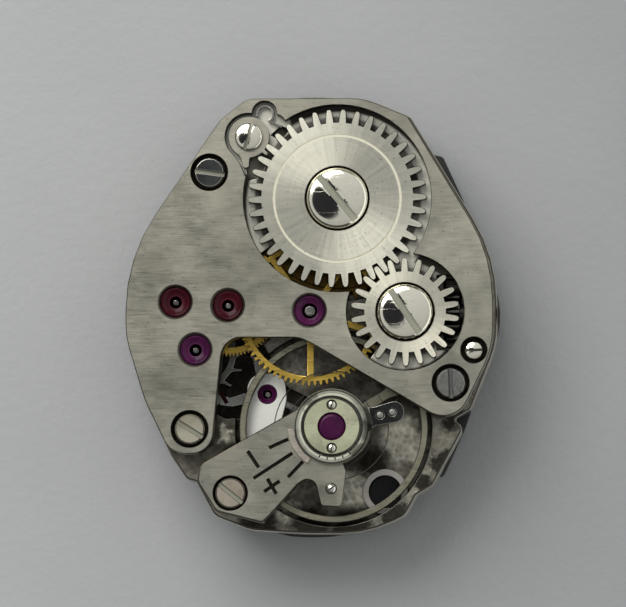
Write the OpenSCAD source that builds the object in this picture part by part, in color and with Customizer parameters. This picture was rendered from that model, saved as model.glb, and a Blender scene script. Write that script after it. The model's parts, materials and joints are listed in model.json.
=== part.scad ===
// Hand-wound lever watch movement in a ladies' oval size, lying on its dial with the bridges up.
// The hands' axis is the Z axis, z = 0 is the tip of the cannon pinion, and +Y points to twelve.

/* [Going train] */
// Teeth of the barrel
barrel_teeth = 60; // [57:1:63]
// Leaves of the centre pinion
centre_leaves = 12; // [11:1:13]
// Module of the barrel and the centre pinion
barrel_module = 0.1122; // [0.111:0.0001:0.1128]
// Direction from the hands' axis to the barrel, in degrees
barrel_bearing = 76.1; // [75:0.1:77.5]
// Teeth of the centre wheel
centre_teeth = 75; // [72:1:76]
// Leaves of the third pinion
third_leaves = 10; // [9:1:11]
// Module of the centre wheel and the third pinion
centre_module = 0.0672; // [0.066:0.0001:0.068]
// Direction from the hands' axis to the third wheel, in degrees
third_bearing = 176.2; // [175:0.1:178]
// Teeth of the third wheel
third_teeth = 80; // [78:1:82]
// Leaves of the fourth pinion
fourth_leaves = 8; // [7:1:9]
// Module of the third wheel and the fourth pinion
third_module = 0.0417; // [0.041:0.0001:0.0424]
// Direction from the third wheel to the fourth wheel, in degrees
fourth_bearing = 176.2; // [174:0.1:179]
// Teeth of the fourth wheel
fourth_teeth = 64; // [62:1:66]
// Leaves of the escape pinion
escape_leaves = 8; // [7:1:9]
// Module of the fourth wheel and the escape pinion
fourth_module = 0.0503; // [0.0495:0.0001:0.051]
// Direction from the fourth wheel to the escape wheel, in degrees
escape_bearing = -67.3; // [-69:0.1:-66]
// Radius of the centre wheel's hub
centre_hub_r = 0.72; // [0.6:0.01:0.8]
// Radial width of the rims of the train wheels
rim_w = 0.26; // [0.2:0.01:0.3]
// Width of the spokes of the train wheels
spoke_w = 0.22; // [0.15:0.01:0.3]
// Thickness of the centre wheel
centre_t = 0.15; // [0.12:0.01:0.18]
// Thickness of the third wheel
third_t = 0.15; // [0.12:0.01:0.18]
// Thickness of the fourth wheel
fourth_t = 0.12; // [0.1:0.01:0.14]
// Radius of the train pivots
pivot_r = 0.07; // [0.05:0.005:0.08]
// Radius of the third, fourth and escape arbors
arbor_r = 0.1; // [0.09:0.005:0.11]
// Radius of the upper centre pivot
centre_pivot_r = 0.15; // [0.12:0.01:0.2]
// Radius of the centre arbor where it carries the cannon pinion
centre_arbor_r = 0.2; // [0.17:0.01:0.21]

/* [Barrel] */
// Outer radius of the drum below its teeth
drum_r = 3.2; // [3.1:0.01:3.22]
// Thickness of the drum's wall
drum_wall = 0.2; // [0.15:0.01:0.25]
// Thickness of the drum's floor
drum_floor_t = 0.2; // [0.15:0.01:0.24]
// Height of the drum
drum_h = 1.2; // [1.15:0.01:1.22]
// Height of the toothed ring
drum_teeth_h = 0.32; // [0.25:0.01:0.35]
// Thickness of the barrel cover
cover_t = 0.18; // [0.14:0.01:0.2]
// Radius of the arbor's core, which the mainspring winds on
core_r = 0.75; // [0.6:0.01:0.8]
// Radius of the arbor's pivots
barrel_pivot_r = 0.5; // [0.45:0.01:0.55]
// Side of the arbor's square, which carries the ratchet wheel
square_side = 0.62; // [0.55:0.01:0.66]
// Turns of the mainspring
mainspring_turns = 8; // [5:1:10]
// Thickness of the mainspring
mainspring_t = 0.1; // [0.07:0.01:0.12]

/* [Escapement] */
// Distance from the escape wheel to the pallet staff
pallet_distance = 2.831; // [2.8:0.01:2.86]
// Direction from the escape wheel to the pallet staff, in degrees
pallet_bearing = -31.3; // [-33:0.1:-30]
// Distance from the pallet staff to the balance
balance_distance = 2.648; // [2.6:0.01:2.7]
// Direction from the pallet staff to the balance, in degrees
balance_bearing = -27.4; // [-29:0.1:-26]
// Teeth of the escape wheel
escape_teeth = 15; // [15:1:15]
// Radius of the escape wheel at its tooth tips
escape_tip_r = 1.62; // [1.58:0.01:1.64]
// Thickness of the escape wheel
escape_t = 0.1; // [0.08:0.01:0.12]
// Thickness of the pallet fork
fork_t = 0.15; // [0.12:0.01:0.18]
// Width of the fork's lever
lever_w = 0.2; // [0.16:0.01:0.24]
// Width of the pallet stones
stone_w = 0.13; // [0.11:0.01:0.15]
// Length of the pallet stones
stone_l = 0.45; // [0.4:0.01:0.5]
// Depth to which the pallet stones reach inside the escape wheel's tips
stone_lock = 0.05; // [0.03:0.01:0.07]
// Radius at which the impulse jewel stands
impulse_r = 0.48; // [0.46:0.01:0.5]
// Radius of the impulse jewel
impulse_jewel_r = 0.08; // [0.06:0.01:0.09]
// Radius of the roller
roller_r = 0.66; // [0.62:0.01:0.7]

/* [Balance] */
// Outer radius of the balance rim
balance_r = 3.31; // [3.2:0.01:3.33]
// Radial width of the balance rim
balance_rim_w = 0.24; // [0.18:0.01:0.3]
// Height of the balance rim
balance_rim_h = 0.35; // [0.3:0.01:0.36]
// Height of the balance arms
balance_arm_h = 0.15; // [0.12:0.01:0.2]
// Width of the balance arms
balance_arm_w = 0.36; // [0.3:0.01:0.45]
// Radius of the balance hub
balance_hub_r = 0.62; // [0.55:0.01:0.7]
// Radius of the balance staff's pivots
balance_pivot_r = 0.06; // [0.045:0.005:0.07]
// Radius of the collet
collet_r = 0.36; // [0.32:0.01:0.4]
// Turns of the hairspring between the collet and its outer turn
hairspring_turns = 8; // [6:1:9]
// Thickness of the hairspring
hairspring_t = 0.05; // [0.04:0.005:0.06]
// Height of the hairspring
hairspring_h = 0.15; // [0.12:0.01:0.16]
// Radius of the hairspring's outer turn, which the curb pins hold
outer_turn_r = 1.94; // [1.92:0.01:1.96]
// Radius at which the stud stands
stud_at_r = 2.15; // [2.13:0.01:2.17]
// Radius of the stud
stud_r = 0.18; // [0.16:0.01:0.2]
// Radius of the cap plate
cap_plate_r = 1.02; // [0.98:0.01:1.04]
// Thickness of the cap plates
cap_plate_t = 0.24; // [0.2:0.01:0.28]
// Radius of the cap jewels
cap_jewel_r = 0.47; // [0.44:0.01:0.5]
// Outer radius of the regulator ring
regulator_r = 1.29; // [1.25:0.01:1.32]
// Thickness of the regulator
regulator_t = 0.18; // [0.15:0.01:0.2]
// Distance from the balance axis to the end of the regulator's tail
regulator_reach = 2.56; // [2.5:0.01:2.65]
// Direction of the regulator's tail, in degrees
regulator_bearing = 13; // [10:1:18]
// Radius of the curb pins
curb_pin_r = 0.14; // [0.11:0.01:0.15]

/* [Winding work] */
// Teeth of the ratchet wheel
ratchet_teeth = 38; // [37:1:39]
// Teeth of the crown wheel
crown_teeth = 22; // [21:1:23]
// Module of the ratchet wheel and the crown wheel
ratchet_module = 0.1542; // [0.153:0.0001:0.1548]
// Direction from the barrel to the crown wheel, in degrees
crown_bearing = -59.3; // [-60.5:0.1:-58.5]
// Thickness of the ratchet wheel and the crown wheel
ratchet_t = 0.4; // [0.35:0.01:0.42]
// Radius of the bright circle turned in the ratchet wheel
ratchet_circle_r = 2.21; // [2.1:0.01:2.3]
// Radius of the ratchet screw's head
ratchet_head_r = 1.06; // [0.98:0.01:1.08]
// Radius of the crown-wheel screw's head
crown_head_r = 0.95; // [0.9:0.01:1]
// Radius of the crown-wheel core
crown_core_r = 0.72; // [0.66:0.01:0.78]
// Radius of the click's round body
click_r = 0.72; // [0.68:0.01:0.74]
// Thickness of the click
click_t = 0.3; // [0.25:0.01:0.35]
// Teeth of the winding pinion
winding_teeth = 14; // [14:1:14]
// Width of the winding pinion's teeth
winding_face = 0.5; // [0.46:0.01:0.52]
// Radius of the sliding pinion
sliding_r = 0.75; // [0.7:0.01:0.76]
// Radius of the groove in the sliding pinion
groove_r = 0.45; // [0.42:0.01:0.48]
// Width of the groove in the sliding pinion
groove_w = 0.3; // [0.28:0.01:0.32]
// Radius of the hole for the winding stem
stem_hole_r = 0.3; // [0.27:0.01:0.32]
// Distance that the sliding pinion moves each way
slide_travel = 0.2; // [0.18:0.01:0.21]
// Thickness of the setting lever and the yoke
lever_t = 0.18; // [0.15:0.01:0.19]
// Distance from the yoke's pivot to the sliding pinion's axis
yoke_arm = 2.26; // [2.2:0.01:2.3]

/* [Motion work] */
// Module of the motion work
motion_module = 0.09; // [0.089:0.0005:0.0905]
// Teeth of the cannon pinion
cannon_teeth = 10; // [10:1:10]
// Teeth of the minute wheel
minute_teeth = 30; // [30:1:30]
// Leaves of the minute pinion
minute_leaves = 8; // [8:1:8]
// Teeth of the hour wheel
hour_teeth = 32; // [32:1:32]
// Teeth of the setting wheel
setting_teeth = 14; // [13:1:14]
// Thickness of the wheels of the motion work
motion_t = 0.13; // [0.1:0.01:0.15]
// Radius of the hour wheel's pipe, where the hour hand fits
hour_pipe_r = 0.55; // [0.52:0.01:0.58]
// Radius of the cannon pinion, where the minute hand fits
cannon_r = 0.35; // [0.33:0.005:0.36]
// Height by which the cannon pinion stands out of the dial
cannon_reach = 0.95; // [0.8:0.05:1.2]
// Height by which the hour wheel's pipe stands out of the dial
hour_reach = 0.6; // [0.4:0.05:0.7]

/* [Plate, bridges and dial] */
// Thickness of the main plate
plate_t = 1.9; // [1.89:0.01:1.92]
// Thickness of the train bridge and the balance cock
bridge_t = 1.1; // [1.08:0.01:1.15]
// Thickness of the balance cock over the hairspring
cock_t = 0.5; // [0.45:0.01:0.52]
// Thickness of the pallet bridge
pallet_bridge_t = 0.25; // [0.22:0.01:0.26]
// Depth of the recess for the ratchet wheel and the crown wheel
recess_depth = 0.5; // [0.45:0.01:0.5]
// Radial gap round the ratchet wheel in its recess
ratchet_gap = 0.16; // [0.12:0.01:0.18]
// Width of the main plate's rim outside the train bridge
plate_margin = 0.12; // [0.08:0.01:0.14]
// Thickness of the dial
dial_t = 0.35; // [0.3:0.01:0.45]
// Half width of the dial
dial_half_w = 6.62; // [6.6:0.01:6.8]
// Half length of the dial
dial_half_l = 7.82; // [7.8:0.01:8]
// Radius of the dial's feet
dial_foot_r = 0.25; // [0.2:0.01:0.28]
// Depth to which the dial's feet enter the plate
dial_foot_h = 0.9; // [0.8:0.01:1]
// Radius of the jewels in the train bridge
jewel_r = 0.53; // [0.5:0.01:0.55]
// Thickness of the train jewels
jewel_t = 0.28; // [0.22:0.01:0.3]
// Radius of the sinks round the train jewels
sink_r = 0.6; // [0.56:0.01:0.64]

/* [Screws] */
// Radius of the bridge screws' heads
bridge_head_r = 0.53; // [0.5:0.01:0.57]
// Radius of the bridge screws' shanks
bridge_shank_r = 0.25; // [0.2:0.01:0.28]
// Radial gap between a bridge screw's head and its recess
head_gap = 0.12; // [0.09:0.01:0.13]
// Depth of the bridge screws' heads below the bridge's face
head_sunk = 0.08; // [0.06:0.01:0.1]
// Thickness of the bridge screws' heads
head_t = 0.3; // [0.26:0.01:0.32]
// Width of the slots in the larger screws
slot_w = 0.15; // [0.12:0.01:0.18]
// Depth of the slots in the larger screws
slot_depth = 0.12; // [0.08:0.01:0.14]
// Radius of the click screw's head
click_head_r = 0.47; // [0.44:0.01:0.5]
// Radius of the setting-lever screw's head
lever_head_r = 0.31; // [0.28:0.01:0.33]
// Radius of the cap-plate screws' heads
small_head_r = 0.15; // [0.13:0.01:0.16]

/* [Fits] */
// Radial clearance of what turns in a bearing
run = 0.03; // [0.025:0.005:0.035]
// Radial clearance of what is pressed or screwed home
fit = 0.01; // [0.005:0.005:0.015]
// Free height between two pieces that pass each other
pass = 0.1; // [0.09:0.005:0.11]
// Free play of an arbor along its axis
shake = 0.04; // [0.03:0.005:0.05]

/* [Hidden] */
$fn = 48;
tiny = 0.001;
arc_step = 9;

steel = "lightsteelblue";
nickel = "silver";
gold = "gold";
ruby = "darkmagenta";
brass = "goldenrod";

// Points and directions in the plan
function polar(r, a) = r * [cos(a), sin(a)];
function centre_distance(module_size, n1, n2) = module_size * (n1 + n2) / 2;
function unit(v) = v / norm(v);
function bearing(v) = atan2(v.y, v.x);

// Axes
hands_at = [0, 0];
barrel_at = polar(centre_distance(barrel_module, barrel_teeth, centre_leaves), barrel_bearing);
third_at = polar(centre_distance(centre_module, centre_teeth, third_leaves), third_bearing);
fourth_at = third_at + polar(centre_distance(third_module, third_teeth, fourth_leaves), fourth_bearing);
escape_at = fourth_at + polar(centre_distance(fourth_module, fourth_teeth, escape_leaves), escape_bearing);
pallet_at = escape_at + polar(pallet_distance, pallet_bearing);
balance_at = pallet_at + polar(balance_distance, balance_bearing);
crown_at = barrel_at + polar(centre_distance(ratchet_module, ratchet_teeth, crown_teeth), crown_bearing);
stem_y = crown_at.y;

// Wheels: a tooth's height above and below the pitch circle, in modules
wheel_addendum = 1.05;
wheel_dedendum = 1.4;
pinion_addendum = 0.75;
pinion_dedendum = 1.4;
winding_addendum = 1.25;
winding_dedendum = 1.7;
function pitch_r(module_size, n) = module_size * n / 2;
barrel_tip_r = pitch_r(barrel_module, barrel_teeth) + wheel_addendum * barrel_module;
centre_tip_r = pitch_r(centre_module, centre_teeth) + wheel_addendum * centre_module;
third_tip_r = pitch_r(third_module, third_teeth) + wheel_addendum * third_module;
fourth_tip_r = pitch_r(fourth_module, fourth_teeth) + wheel_addendum * fourth_module;
ratchet_tip_r = pitch_r(ratchet_module, ratchet_teeth) + winding_addendum * ratchet_module;
crown_pitch_r = pitch_r(ratchet_module, crown_teeth);
crown_tip_r = crown_pitch_r + winding_addendum * ratchet_module;
winding_pitch_r = pitch_r(ratchet_module, winding_teeth);
winding_tip_r = winding_pitch_r + 0.15;
winding_root_r = winding_pitch_r - 0.25;
minute_tip_r = pitch_r(motion_module, minute_teeth) + wheel_addendum * motion_module;
hour_tip_r = pitch_r(motion_module, hour_teeth) + wheel_addendum * motion_module;
cannon_tip_r = pitch_r(motion_module, cannon_teeth) + pinion_addendum * motion_module;
setting_tip_r = pitch_r(motion_module, setting_teeth) + pinion_addendum * motion_module;

// A wheel's phase, so that it meshes with a wheel whose tooth stands at another phase
function mesh(towards, n1, phase1, n2) = towards + 180 + (towards - phase1) * n1 / n2 + 180 / n2;
centre_phase = 0;
third_pinion_phase = mesh(third_bearing, centre_teeth, centre_phase, third_leaves);
fourth_pinion_phase = mesh(fourth_bearing, third_teeth, 0, fourth_leaves);
escape_pinion_phase = mesh(escape_bearing, fourth_teeth, 0, escape_leaves);
barrel_phase = mesh(barrel_bearing, centre_leaves, 0, barrel_teeth);

// Heights above the plate's dial face, from the dial up
plate_z = cannon_reach + dial_t;
lever_z = 0.08;
lever_recess_h = lever_z + lever_t + shake;
hour_wheel_z = 0.05;
minute_wheel_z = hour_wheel_z + motion_t + 2.7 * pass;
minute_recess_h = minute_wheel_z + motion_t + 0.5 * pass;
cannon_teeth_z = minute_wheel_z - 0.3 * pass;
cannon_teeth_h = motion_t + 0.8 * pass;
cannon_recess_h = cannon_teeth_z + cannon_teeth_h + 0.4 * pass;
setting_wheel_h = 0.5;
setting_recess_h = minute_wheel_z + setting_wheel_h + 0.5 * pass;
centre_jewel_z = cannon_recess_h + 0.02;
barrel_floor_z = 0.6;
drum_z = barrel_floor_z + 0.05;
drum_teeth_z = drum_z + drum_h - drum_teeth_h - 0.03;
fork_floor_z = 0.8;
fork_z = fork_floor_z + 1.5 * pass;
escape_z = fork_z;
pallet_bridge_z = fork_z + fork_t + 0.5 * pass;
balance_floor_z = pallet_bridge_z;
balance_z = pallet_bridge_z + pallet_bridge_t + pass;
fourth_z = escape_z + escape_t + 2.5 * pass;
fourth_floor_z = fourth_z - pass;
third_z = fourth_z + fourth_t + 2.3 * pass;
third_floor_z = third_z - pass;
centre_z = third_z + third_t + 2.5 * pass;
bridge_top = plate_t + bridge_t;
recess_z = bridge_top - recess_depth;
ratchet_z = recess_z + 0.5 * pass;
cock_z = bridge_top - cock_t;
hairspring_z = cock_z - pass - hairspring_h;
jewel_top = bridge_top - 0.12;
jewel_z = jewel_top - jewel_t;
stem_z = ratchet_z - winding_tip_r + 0.22;

// Winding work along the stem, from the crown wheel's far teeth outwards
winding_x = crown_at.x + crown_pitch_r - winding_face / 2 - 0.06;
hub_x = winding_x + winding_face;
hub_l = 0.38;
hub_r = 0.45;
face_teeth = winding_teeth / 2;
face_tooth_h = 0.1;
face_tooth_r = [0.36, 0.62];
sliding_end = winding_x - face_tooth_h - 0.12;
sliding_l = 1.1;
sliding_x = sliding_end - sliding_l;
groove_x = sliding_x + 0.5;
setting_at = [sliding_x - 0.1 - setting_tip_r, stem_y];

// The minute wheel stands where it meshes with both the cannon pinion and the setting wheel
minute_from_hands = centre_distance(motion_module, cannon_teeth, minute_teeth);
minute_from_setting = centre_distance(motion_module, minute_teeth, setting_teeth);
minute_turn = acos((pow(minute_from_hands, 2) + pow(norm(setting_at), 2) - pow(minute_from_setting, 2))
    / (2 * minute_from_hands * norm(setting_at)));
minute_at = polar(minute_from_hands, bearing(setting_at) - minute_turn);
minute_phase = mesh(bearing(minute_at), cannon_teeth, 0, minute_teeth);
minute_pinion_phase = 0;
hour_phase = mesh(bearing(minute_at) + 180, minute_leaves, minute_pinion_phase, hour_teeth);
setting_phase = mesh(bearing(setting_at - minute_at), minute_teeth, minute_phase, setting_teeth);

// Yoke, setting lever and click
yoke_at = [groove_x + groove_w / 2, stem_y + yoke_arm];
lever_at = [5.72, -1.4];
yoke_post_r = 0.2;
click_at = [-2.13, 6.1];
click_bearing = 147.6;
click_tip = barrel_at + polar(pitch_r(ratchet_module, ratchet_teeth) - 0.03, click_bearing);
ratchet_phase = click_bearing + 180 / ratchet_teeth;
crown_phase = mesh(crown_bearing, ratchet_teeth, ratchet_phase, crown_teeth);

// The plate's foot, at six o'clock, stops just inside the dial
dial_lip = 0.2;
foot_y = dial_lip - dial_half_l;

// Fasteners and feet in the plan
blued_screw_at = [-3.5, 4.85];
bridge_screws_at = [[-4.17, -4.12], [4.91, -2.54]];
bridge_slots = [-32, 92];
cock_screw_at = [-2.75, foot_y + 1.27];
pallet_screws_at = [[-1.66, -4.75], [-2.12, -4.5]];
cap_screw_r = 0.75;
stud_bearing = -90.8;
stud_at = balance_at + polar(stud_at_r, stud_bearing);
dial_feet_at = [[4.15, -4.95], [-4.6, 2.75]];
foot_screw_bearings = [-29.4, 145];
foot_screw_starts = [dial_foot_r, dial_foot_r];
foot_screw_l = 0.32;
foot_screw_r = 0.2;
foot_screw_z = 0.5;
sight_hole_at = [2.57, -6.26];
sight_hole_r = 0.58;
balance_pocket_r = balance_r + 0.14;
small_shank_r = 0.08;
click_shoulder_r = 0.3;
lever_shank_r = 0.15;

// Outlines as [x, y, corner radius], clockwise or not
bridge_corners = [[-6.42, 1.87, 6], [-6.42, -0.9, 3], [-5.75, -3.1, 4], [-4.83, -4.98, 0.8],
    [-3.42, -4.98, 0.75], [-3.02, -0.92, 0.75], [-0.3, -0.93, 1], [5.04, -4.06, 0.92], [6.39, -1.3, 3],
    [6.39, 1.88, 5.5], [3.43, 6.78, 0.15], [1.9, 7.43, 2.5], [-2.2, 7.43, 0.8], [-3.15, 6.66, 1.5]];
plate_corners = [[-6.36, 1.87, 6], [-6.36, -0.9, 3], [-5.72, -3.1, 4], [-4.78, -5, 0.4], [-4.28, -5.74, 0.15],
    [-3.95, -5.82, 0.2], [-3.3, foot_y + 0.6, 0.4], [-2.1, foot_y + 0.12, 1.5], [-0.2, foot_y, 6],
    [2, foot_y, 4], [3.2, foot_y + 0.6, 0.4], [3.6, -6.3, 0.3], [4.17, -5.97, 0.2], [5.2, -4.07, 0.15],
    [4.8, -3.75, 0.2], [5.5, -3.32, 0.2], [6.4, -1.05, 3], [6.4, 1.9, 5.5], [3.43, 6.78, 0.15],
    [1.9, 7.43, 2.5], [-2.2, 7.43, 0.8], [-3.15, 6.66, 1.5]];
dial_corners = [[1.037, 0, 3], [0.766, 0.555, 1.5], [0.634, 0.735, 0.5], [0.46, 0.918, 1], [0.12, 1, 3]];
dial_right_corners = [[1.027, 0, 3], [0.801, 0.53, 1.2], [0.695, 0.725, 0.2], [0.627, 0.739, 0.3],
    [0.45, 0.905, 1], [0.12, 1, 3]];
cock_corners = [[0.19, -3.08, 0], [-3.83, -5.37, 0.35], [-3.92, -5.95, 0.3],
    [-3.25, foot_y + 0.62, 0.35], [-1.62, foot_y + 0.22, 0.2], [0.117, -5.487, 0.35],
    [0.42, -6.78, 0.12], [1.12, -6.82, 0.15], [1.27, -5.6, 0.1], [0.9, -4.6, 0]];
yoke_head_r = 0.42;
yoke_room_r = yoke_head_r + 0.08;
keyless_corners = [[yoke_at.x - 0.7, yoke_at.y + yoke_room_r, 0.3],
    [yoke_at.x + 0.7, yoke_at.y + yoke_room_r, 0.5], [5.7, 1.3, 0.4], [6.16, -0.6, 0.3],
    [6.08, -1.85, 0.45], [5.0, -2.2, 0.4], [3.2, -2.2, 0.4], [3.2, -0.9, 0.2]];

function reversed(list) = [for (i = [len(list) - 1:-1:0]) list[i]];
function turned(v, a) = [v.x * cos(a) - v.y * sin(a), v.x * sin(a) + v.y * cos(a)];
function rounded_corner(before, corner, after) =
    let (
        tip = [corner.x, corner.y],
        u = unit([before.x, before.y] - tip),
        v = unit([after.x, after.y] - tip),
        half = acos(u * v) / 2,
        middle = tip + unit(u + v) * corner[2] / sin(half),
        start = tip + u * corner[2] / tan(half) - middle,
        side = sign(u.x * v.y - u.y * v.x),
        turn = -side * (180 - 2 * half),
        steps = ceil((180 - 2 * half) / arc_step)
    )
    corner[2] == 0 ? [tip] : [for (k = [0:steps]) middle + turned(start, turn * k / steps)];
function rounded(corners) =
    let (n = len(corners))
    [for (i = [0:n - 1]) each rounded_corner(corners[(i + n - 1) % n], corners[i], corners[(i + 1) % n])];

// An outline moved outwards, for points that run anticlockwise
function grown(points, by) =
    let (n = len(points))
    [for (i = [0:n - 1])
        let (
            inward = unit(points[i] - points[(i + n - 1) % n]),
            onward = unit(points[(i + 1) % n] - points[i]),
            middle = unit(inward + onward)
        )
        points[i] + by / (middle * onward) * [middle.y, -middle.x]];

// Teeth: each stands at phase + k turns / n, and its width is given in shares of the pitch
wheel_form = [[-wheel_dedendum, 0.28], [0, 0.23], [wheel_addendum, 0.08]];
pinion_form = [[-pinion_dedendum, 0.15], [0, 0.18], [pinion_addendum, 0.08]];
winding_form = [[-winding_dedendum, 0.31], [0, 0.24], [0.6, 0.205], [1, 0.155], [winding_addendum, 0.09]];
function toothed(n, module_size, form, phase) =
    let (
        last = len(form) - 1,
        rising = [for (f = form) [pitch_r(module_size, n) + f[0] * module_size, -f[1]]],
        falling = [for (i = [last:-1:0]) [rising[i][0], -rising[i][1]]]
    )
    [for (k = [0:n - 1], s = concat(rising, falling)) polar(s[0], phase + (k + s[1]) * 360 / n)];

// The window between two spokes of a wheel
function window(inner, outer, from, to, spoke) =
    let (
        a = asin(spoke / 2 / outer),
        b = asin(spoke / 2 / inner),
        steps = 8
    )
    concat(
        [for (k = [0:steps]) polar(outer, from + a + (to - from - 2 * a) * k / steps)],
        [for (k = [steps:-1:0]) polar(inner, from + b + (to - from - 2 * b) * k / steps)]);
function sector(inner, outer, from, to) = concat(
    [for (k = [0:4]) polar(outer, from + (to - from) * k / 4)],
    [for (k = [4:-1:0]) polar(inner, from + (to - from) * k / 4)]);

module at(p, z = 0) {
    translate([p.x, p.y, plate_z + z]) children();
}

module slab(points, h) {
    linear_extrude(h) polygon(points);
}

module pipe(outer, inner, h) {
    difference() {
        cylinder(r = outer, h = h);
        translate([0, 0, -tiny]) cylinder(r = inner, h = h + 2 * tiny);
    }
}

// A slotted screw with its head's underside at z = 0, a small bevel round the head and a domed top
module screw(head_r, h, shank_r, shank_l, angle, slot = slot_w, depth = slot_depth, dome = 0) {
    bevel = 0.09 * head_r;
    top_r = head_r - bevel;
    steps = dome > 0 ? 6 : 1;
    difference() {
        rotate_extrude() polygon(concat([[0, -shank_l], [shank_r, -shank_l], [shank_r, 0], [head_r, 0],
            [head_r, h - dome - bevel]],
            [for (k = [0:steps]) let (x = 1 - k / steps) [top_r * x, h - dome * x * x]]));
        rotate([0, 0, angle]) translate([-head_r - tiny, -slot / 2, h - depth])
            cube([2 * head_r + 2 * tiny, slot, depth + tiny]);
    }
}

// A hole jewel with its round oil cup uppermost
module jewel(r, h, bore) {
    cup_r = 0.84 * r;
    cup_h = h / 2;
    cup_steps = 6;
    rotate_extrude() polygon(concat([[bore, 0], [r, 0], [r, h - 0.04], [r - 0.04, h]],
        [for (k = [0:cup_steps])
            let (x = between(cup_r, bore, k / cup_steps))
            [x, h - cup_h * (1 - pow((x - bore) / (cup_r - bore), 2))]]));
}

module wheel_disc(n, module_size, form, phase, t, bore) {
    difference() {
        slab(toothed(n, module_size, form, phase), t);
        translate([0, 0, -tiny]) cylinder(r = bore, h = t + 2 * tiny);
    }
}

module crossings(count, inner, outer, first, spoke, t) {
    for (k = [0:count - 1])
        translate([0, 0, -tiny])
            slab(window(inner, outer, first + k * 360 / count, first + (k + 1) * 360 / count, spoke),
                t + 2 * tiny);
}

module train_wheel(n, module_size, t, hub, bore, count, first) {
    difference() {
        wheel_disc(n, module_size, wheel_form, 0, t, bore);
        crossings(count, hub, pitch_r(module_size, n) - rim_w, first, spoke_w, t);
    }
}

// A train arbor with a pivot at each end, and leaves between two heights
module train_arbor(leaves, module_size, phase, leaf_z, leaf_top) {
    low = fork_floor_z + shake;
    high = jewel_z - shake;
    translate([0, 0, low - jewel_t]) cylinder(r = pivot_r, h = high - low + 2 * jewel_t);
    translate([0, 0, low]) cylinder(r = arbor_r, h = high - low);
    translate([0, 0, leaf_z]) slab(toothed(leaves, module_size, pinion_form, phase), leaf_top - leaf_z);
}

// Main plate
module barrel_pocket() {
    at(barrel_at, barrel_floor_z) cylinder(r = drum_r + 0.06, h = plate_t);
    at(barrel_at, drum_teeth_z - pass) cylinder(r = barrel_tip_r + 0.05, h = plate_t);
    at(barrel_at, -tiny) cylinder(r = barrel_pivot_r + run, h = plate_t);
}

centre_pinion_room_r = pitch_r(barrel_module, centre_leaves) + 0.2;
module train_pockets() {
    at(hands_at, centre_jewel_z + jewel_t) cylinder(r = centre_pinion_room_r, h = plate_t);
    at(third_at, third_floor_z) cylinder(r = third_tip_r + 0.06, h = plate_t);
    at(fourth_at, fourth_floor_z) cylinder(r = fourth_tip_r + 0.05, h = plate_t);
    at(escape_at, fork_floor_z) cylinder(r = escape_tip_r + 0.09, h = plate_t);
    at(balance_at, balance_floor_z) cylinder(r = balance_pocket_r, h = plate_t);
    at(balance_at, fork_floor_z - 0.05) cylinder(r = roller_r + 0.12, h = plate_t);
}

fork_room = [[-1.8, -1.45, 0.2], [-0.85, -1.45, 0.3], [0.45, -0.55, 0.3], [2.3, -0.55, 0],
    [2.3, 0.55, 0], [0.45, 0.55, 0.3], [-0.85, 1.45, 0.3], [-1.8, 1.45, 0.2]];
module fork_pocket() {
    at(pallet_at, fork_floor_z) rotate([0, 0, balance_bearing]) slab(rounded(fork_room), plate_t);
}

module plate_jewel_holes() {
    at(hands_at, -tiny) cylinder(r = centre_arbor_r + 2 * run, h = plate_t);
    at(hands_at, centre_jewel_z) cylinder(r = centre_low_jewel_r + fit, h = plate_t);
    for (j = low_jewels) {
        at(j[0], j[1]) cylinder(r = j[2] + fit, h = plate_t);
        at(j[0], 0.3) cylinder(r = 2 * pivot_r, h = plate_t);
    }
    at(balance_at, -tiny) cylinder(r = cap_plate_r + fit, h = cap_plate_t + 0.03);
    at(balance_at, 0) cylinder(r = cap_jewel_r + fit, h = low_cap_top);
}
centre_low_jewel_r = jewel_r - 0.07;
low_jewel_r = jewel_r - 0.13;
pallet_jewel_r = jewel_r - 0.19;
low_hole_jewel_t = 0.2;
low_cap_jewel_t = 0.2;
low_cap_z = cap_plate_t + 0.03;
low_cap_top = low_cap_z + low_cap_jewel_t + fit;
low_hole_z = fork_floor_z - 0.05 - low_hole_jewel_t;
low_jewels = [[third_at, fork_floor_z - jewel_t, low_jewel_r],
    [fourth_at, fork_floor_z - jewel_t, low_jewel_r],
    [escape_at, fork_floor_z - jewel_t, low_jewel_r],
    [pallet_at, fork_floor_z - jewel_t, pallet_jewel_r],
    [balance_at, low_hole_z, low_jewel_r]];

module motion_recess() {
    at(hands_at, -tiny) cylinder(r = hour_tip_r + 0.07, h = hour_wheel_z + motion_t + 0.05);
    at(hands_at, -tiny) cylinder(r = cannon_tip_r + 0.06, h = cannon_recess_h);
    at(minute_at, -tiny) cylinder(r = minute_tip_r + 0.06, h = minute_recess_h);
    at(setting_at, -tiny) cylinder(r = setting_tip_r + 0.08, h = setting_recess_h);
}

// Room along the stem for the winding pinion and the sliding pinion
module stem_room() {
    translate([0, stem_y, plate_z + stem_z]) rotate([0, 90, 0]) {
        translate([0, 0, sliding_x - slide_travel - 0.08])
            cylinder(r = sliding_r + 0.05, h = winding_x - sliding_x + slide_travel + 0.1);
        translate([0, 0, winding_x - 0.06]) cylinder(r = winding_tip_r + 0.05, h = winding_face + 0.11);
        translate([0, 0, hub_x]) cylinder(r = hub_r + run, h = hub_l + 0.05);
        translate([0, 0, hub_x]) cylinder(r = stem_hole_r, h = 3);
    }
}

lever_pin_at = [lever_at.x - 0.02, stem_y];
module keyless_recess() {
    at([0, 0], -tiny) slab(rounded(keyless_corners), lever_recess_h);
    at([groove_x + groove_w / 2, stem_y], 0) translate([-slide_travel - 0.18, -0.35, -tiny])
        cube([2 * slide_travel + 0.36, 0.7, stem_z - groove_r]);
    at(lever_pin_at, 0) translate([-0.32, -0.2, -tiny]) cube([0.64, 0.4, stem_z]);
}

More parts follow.
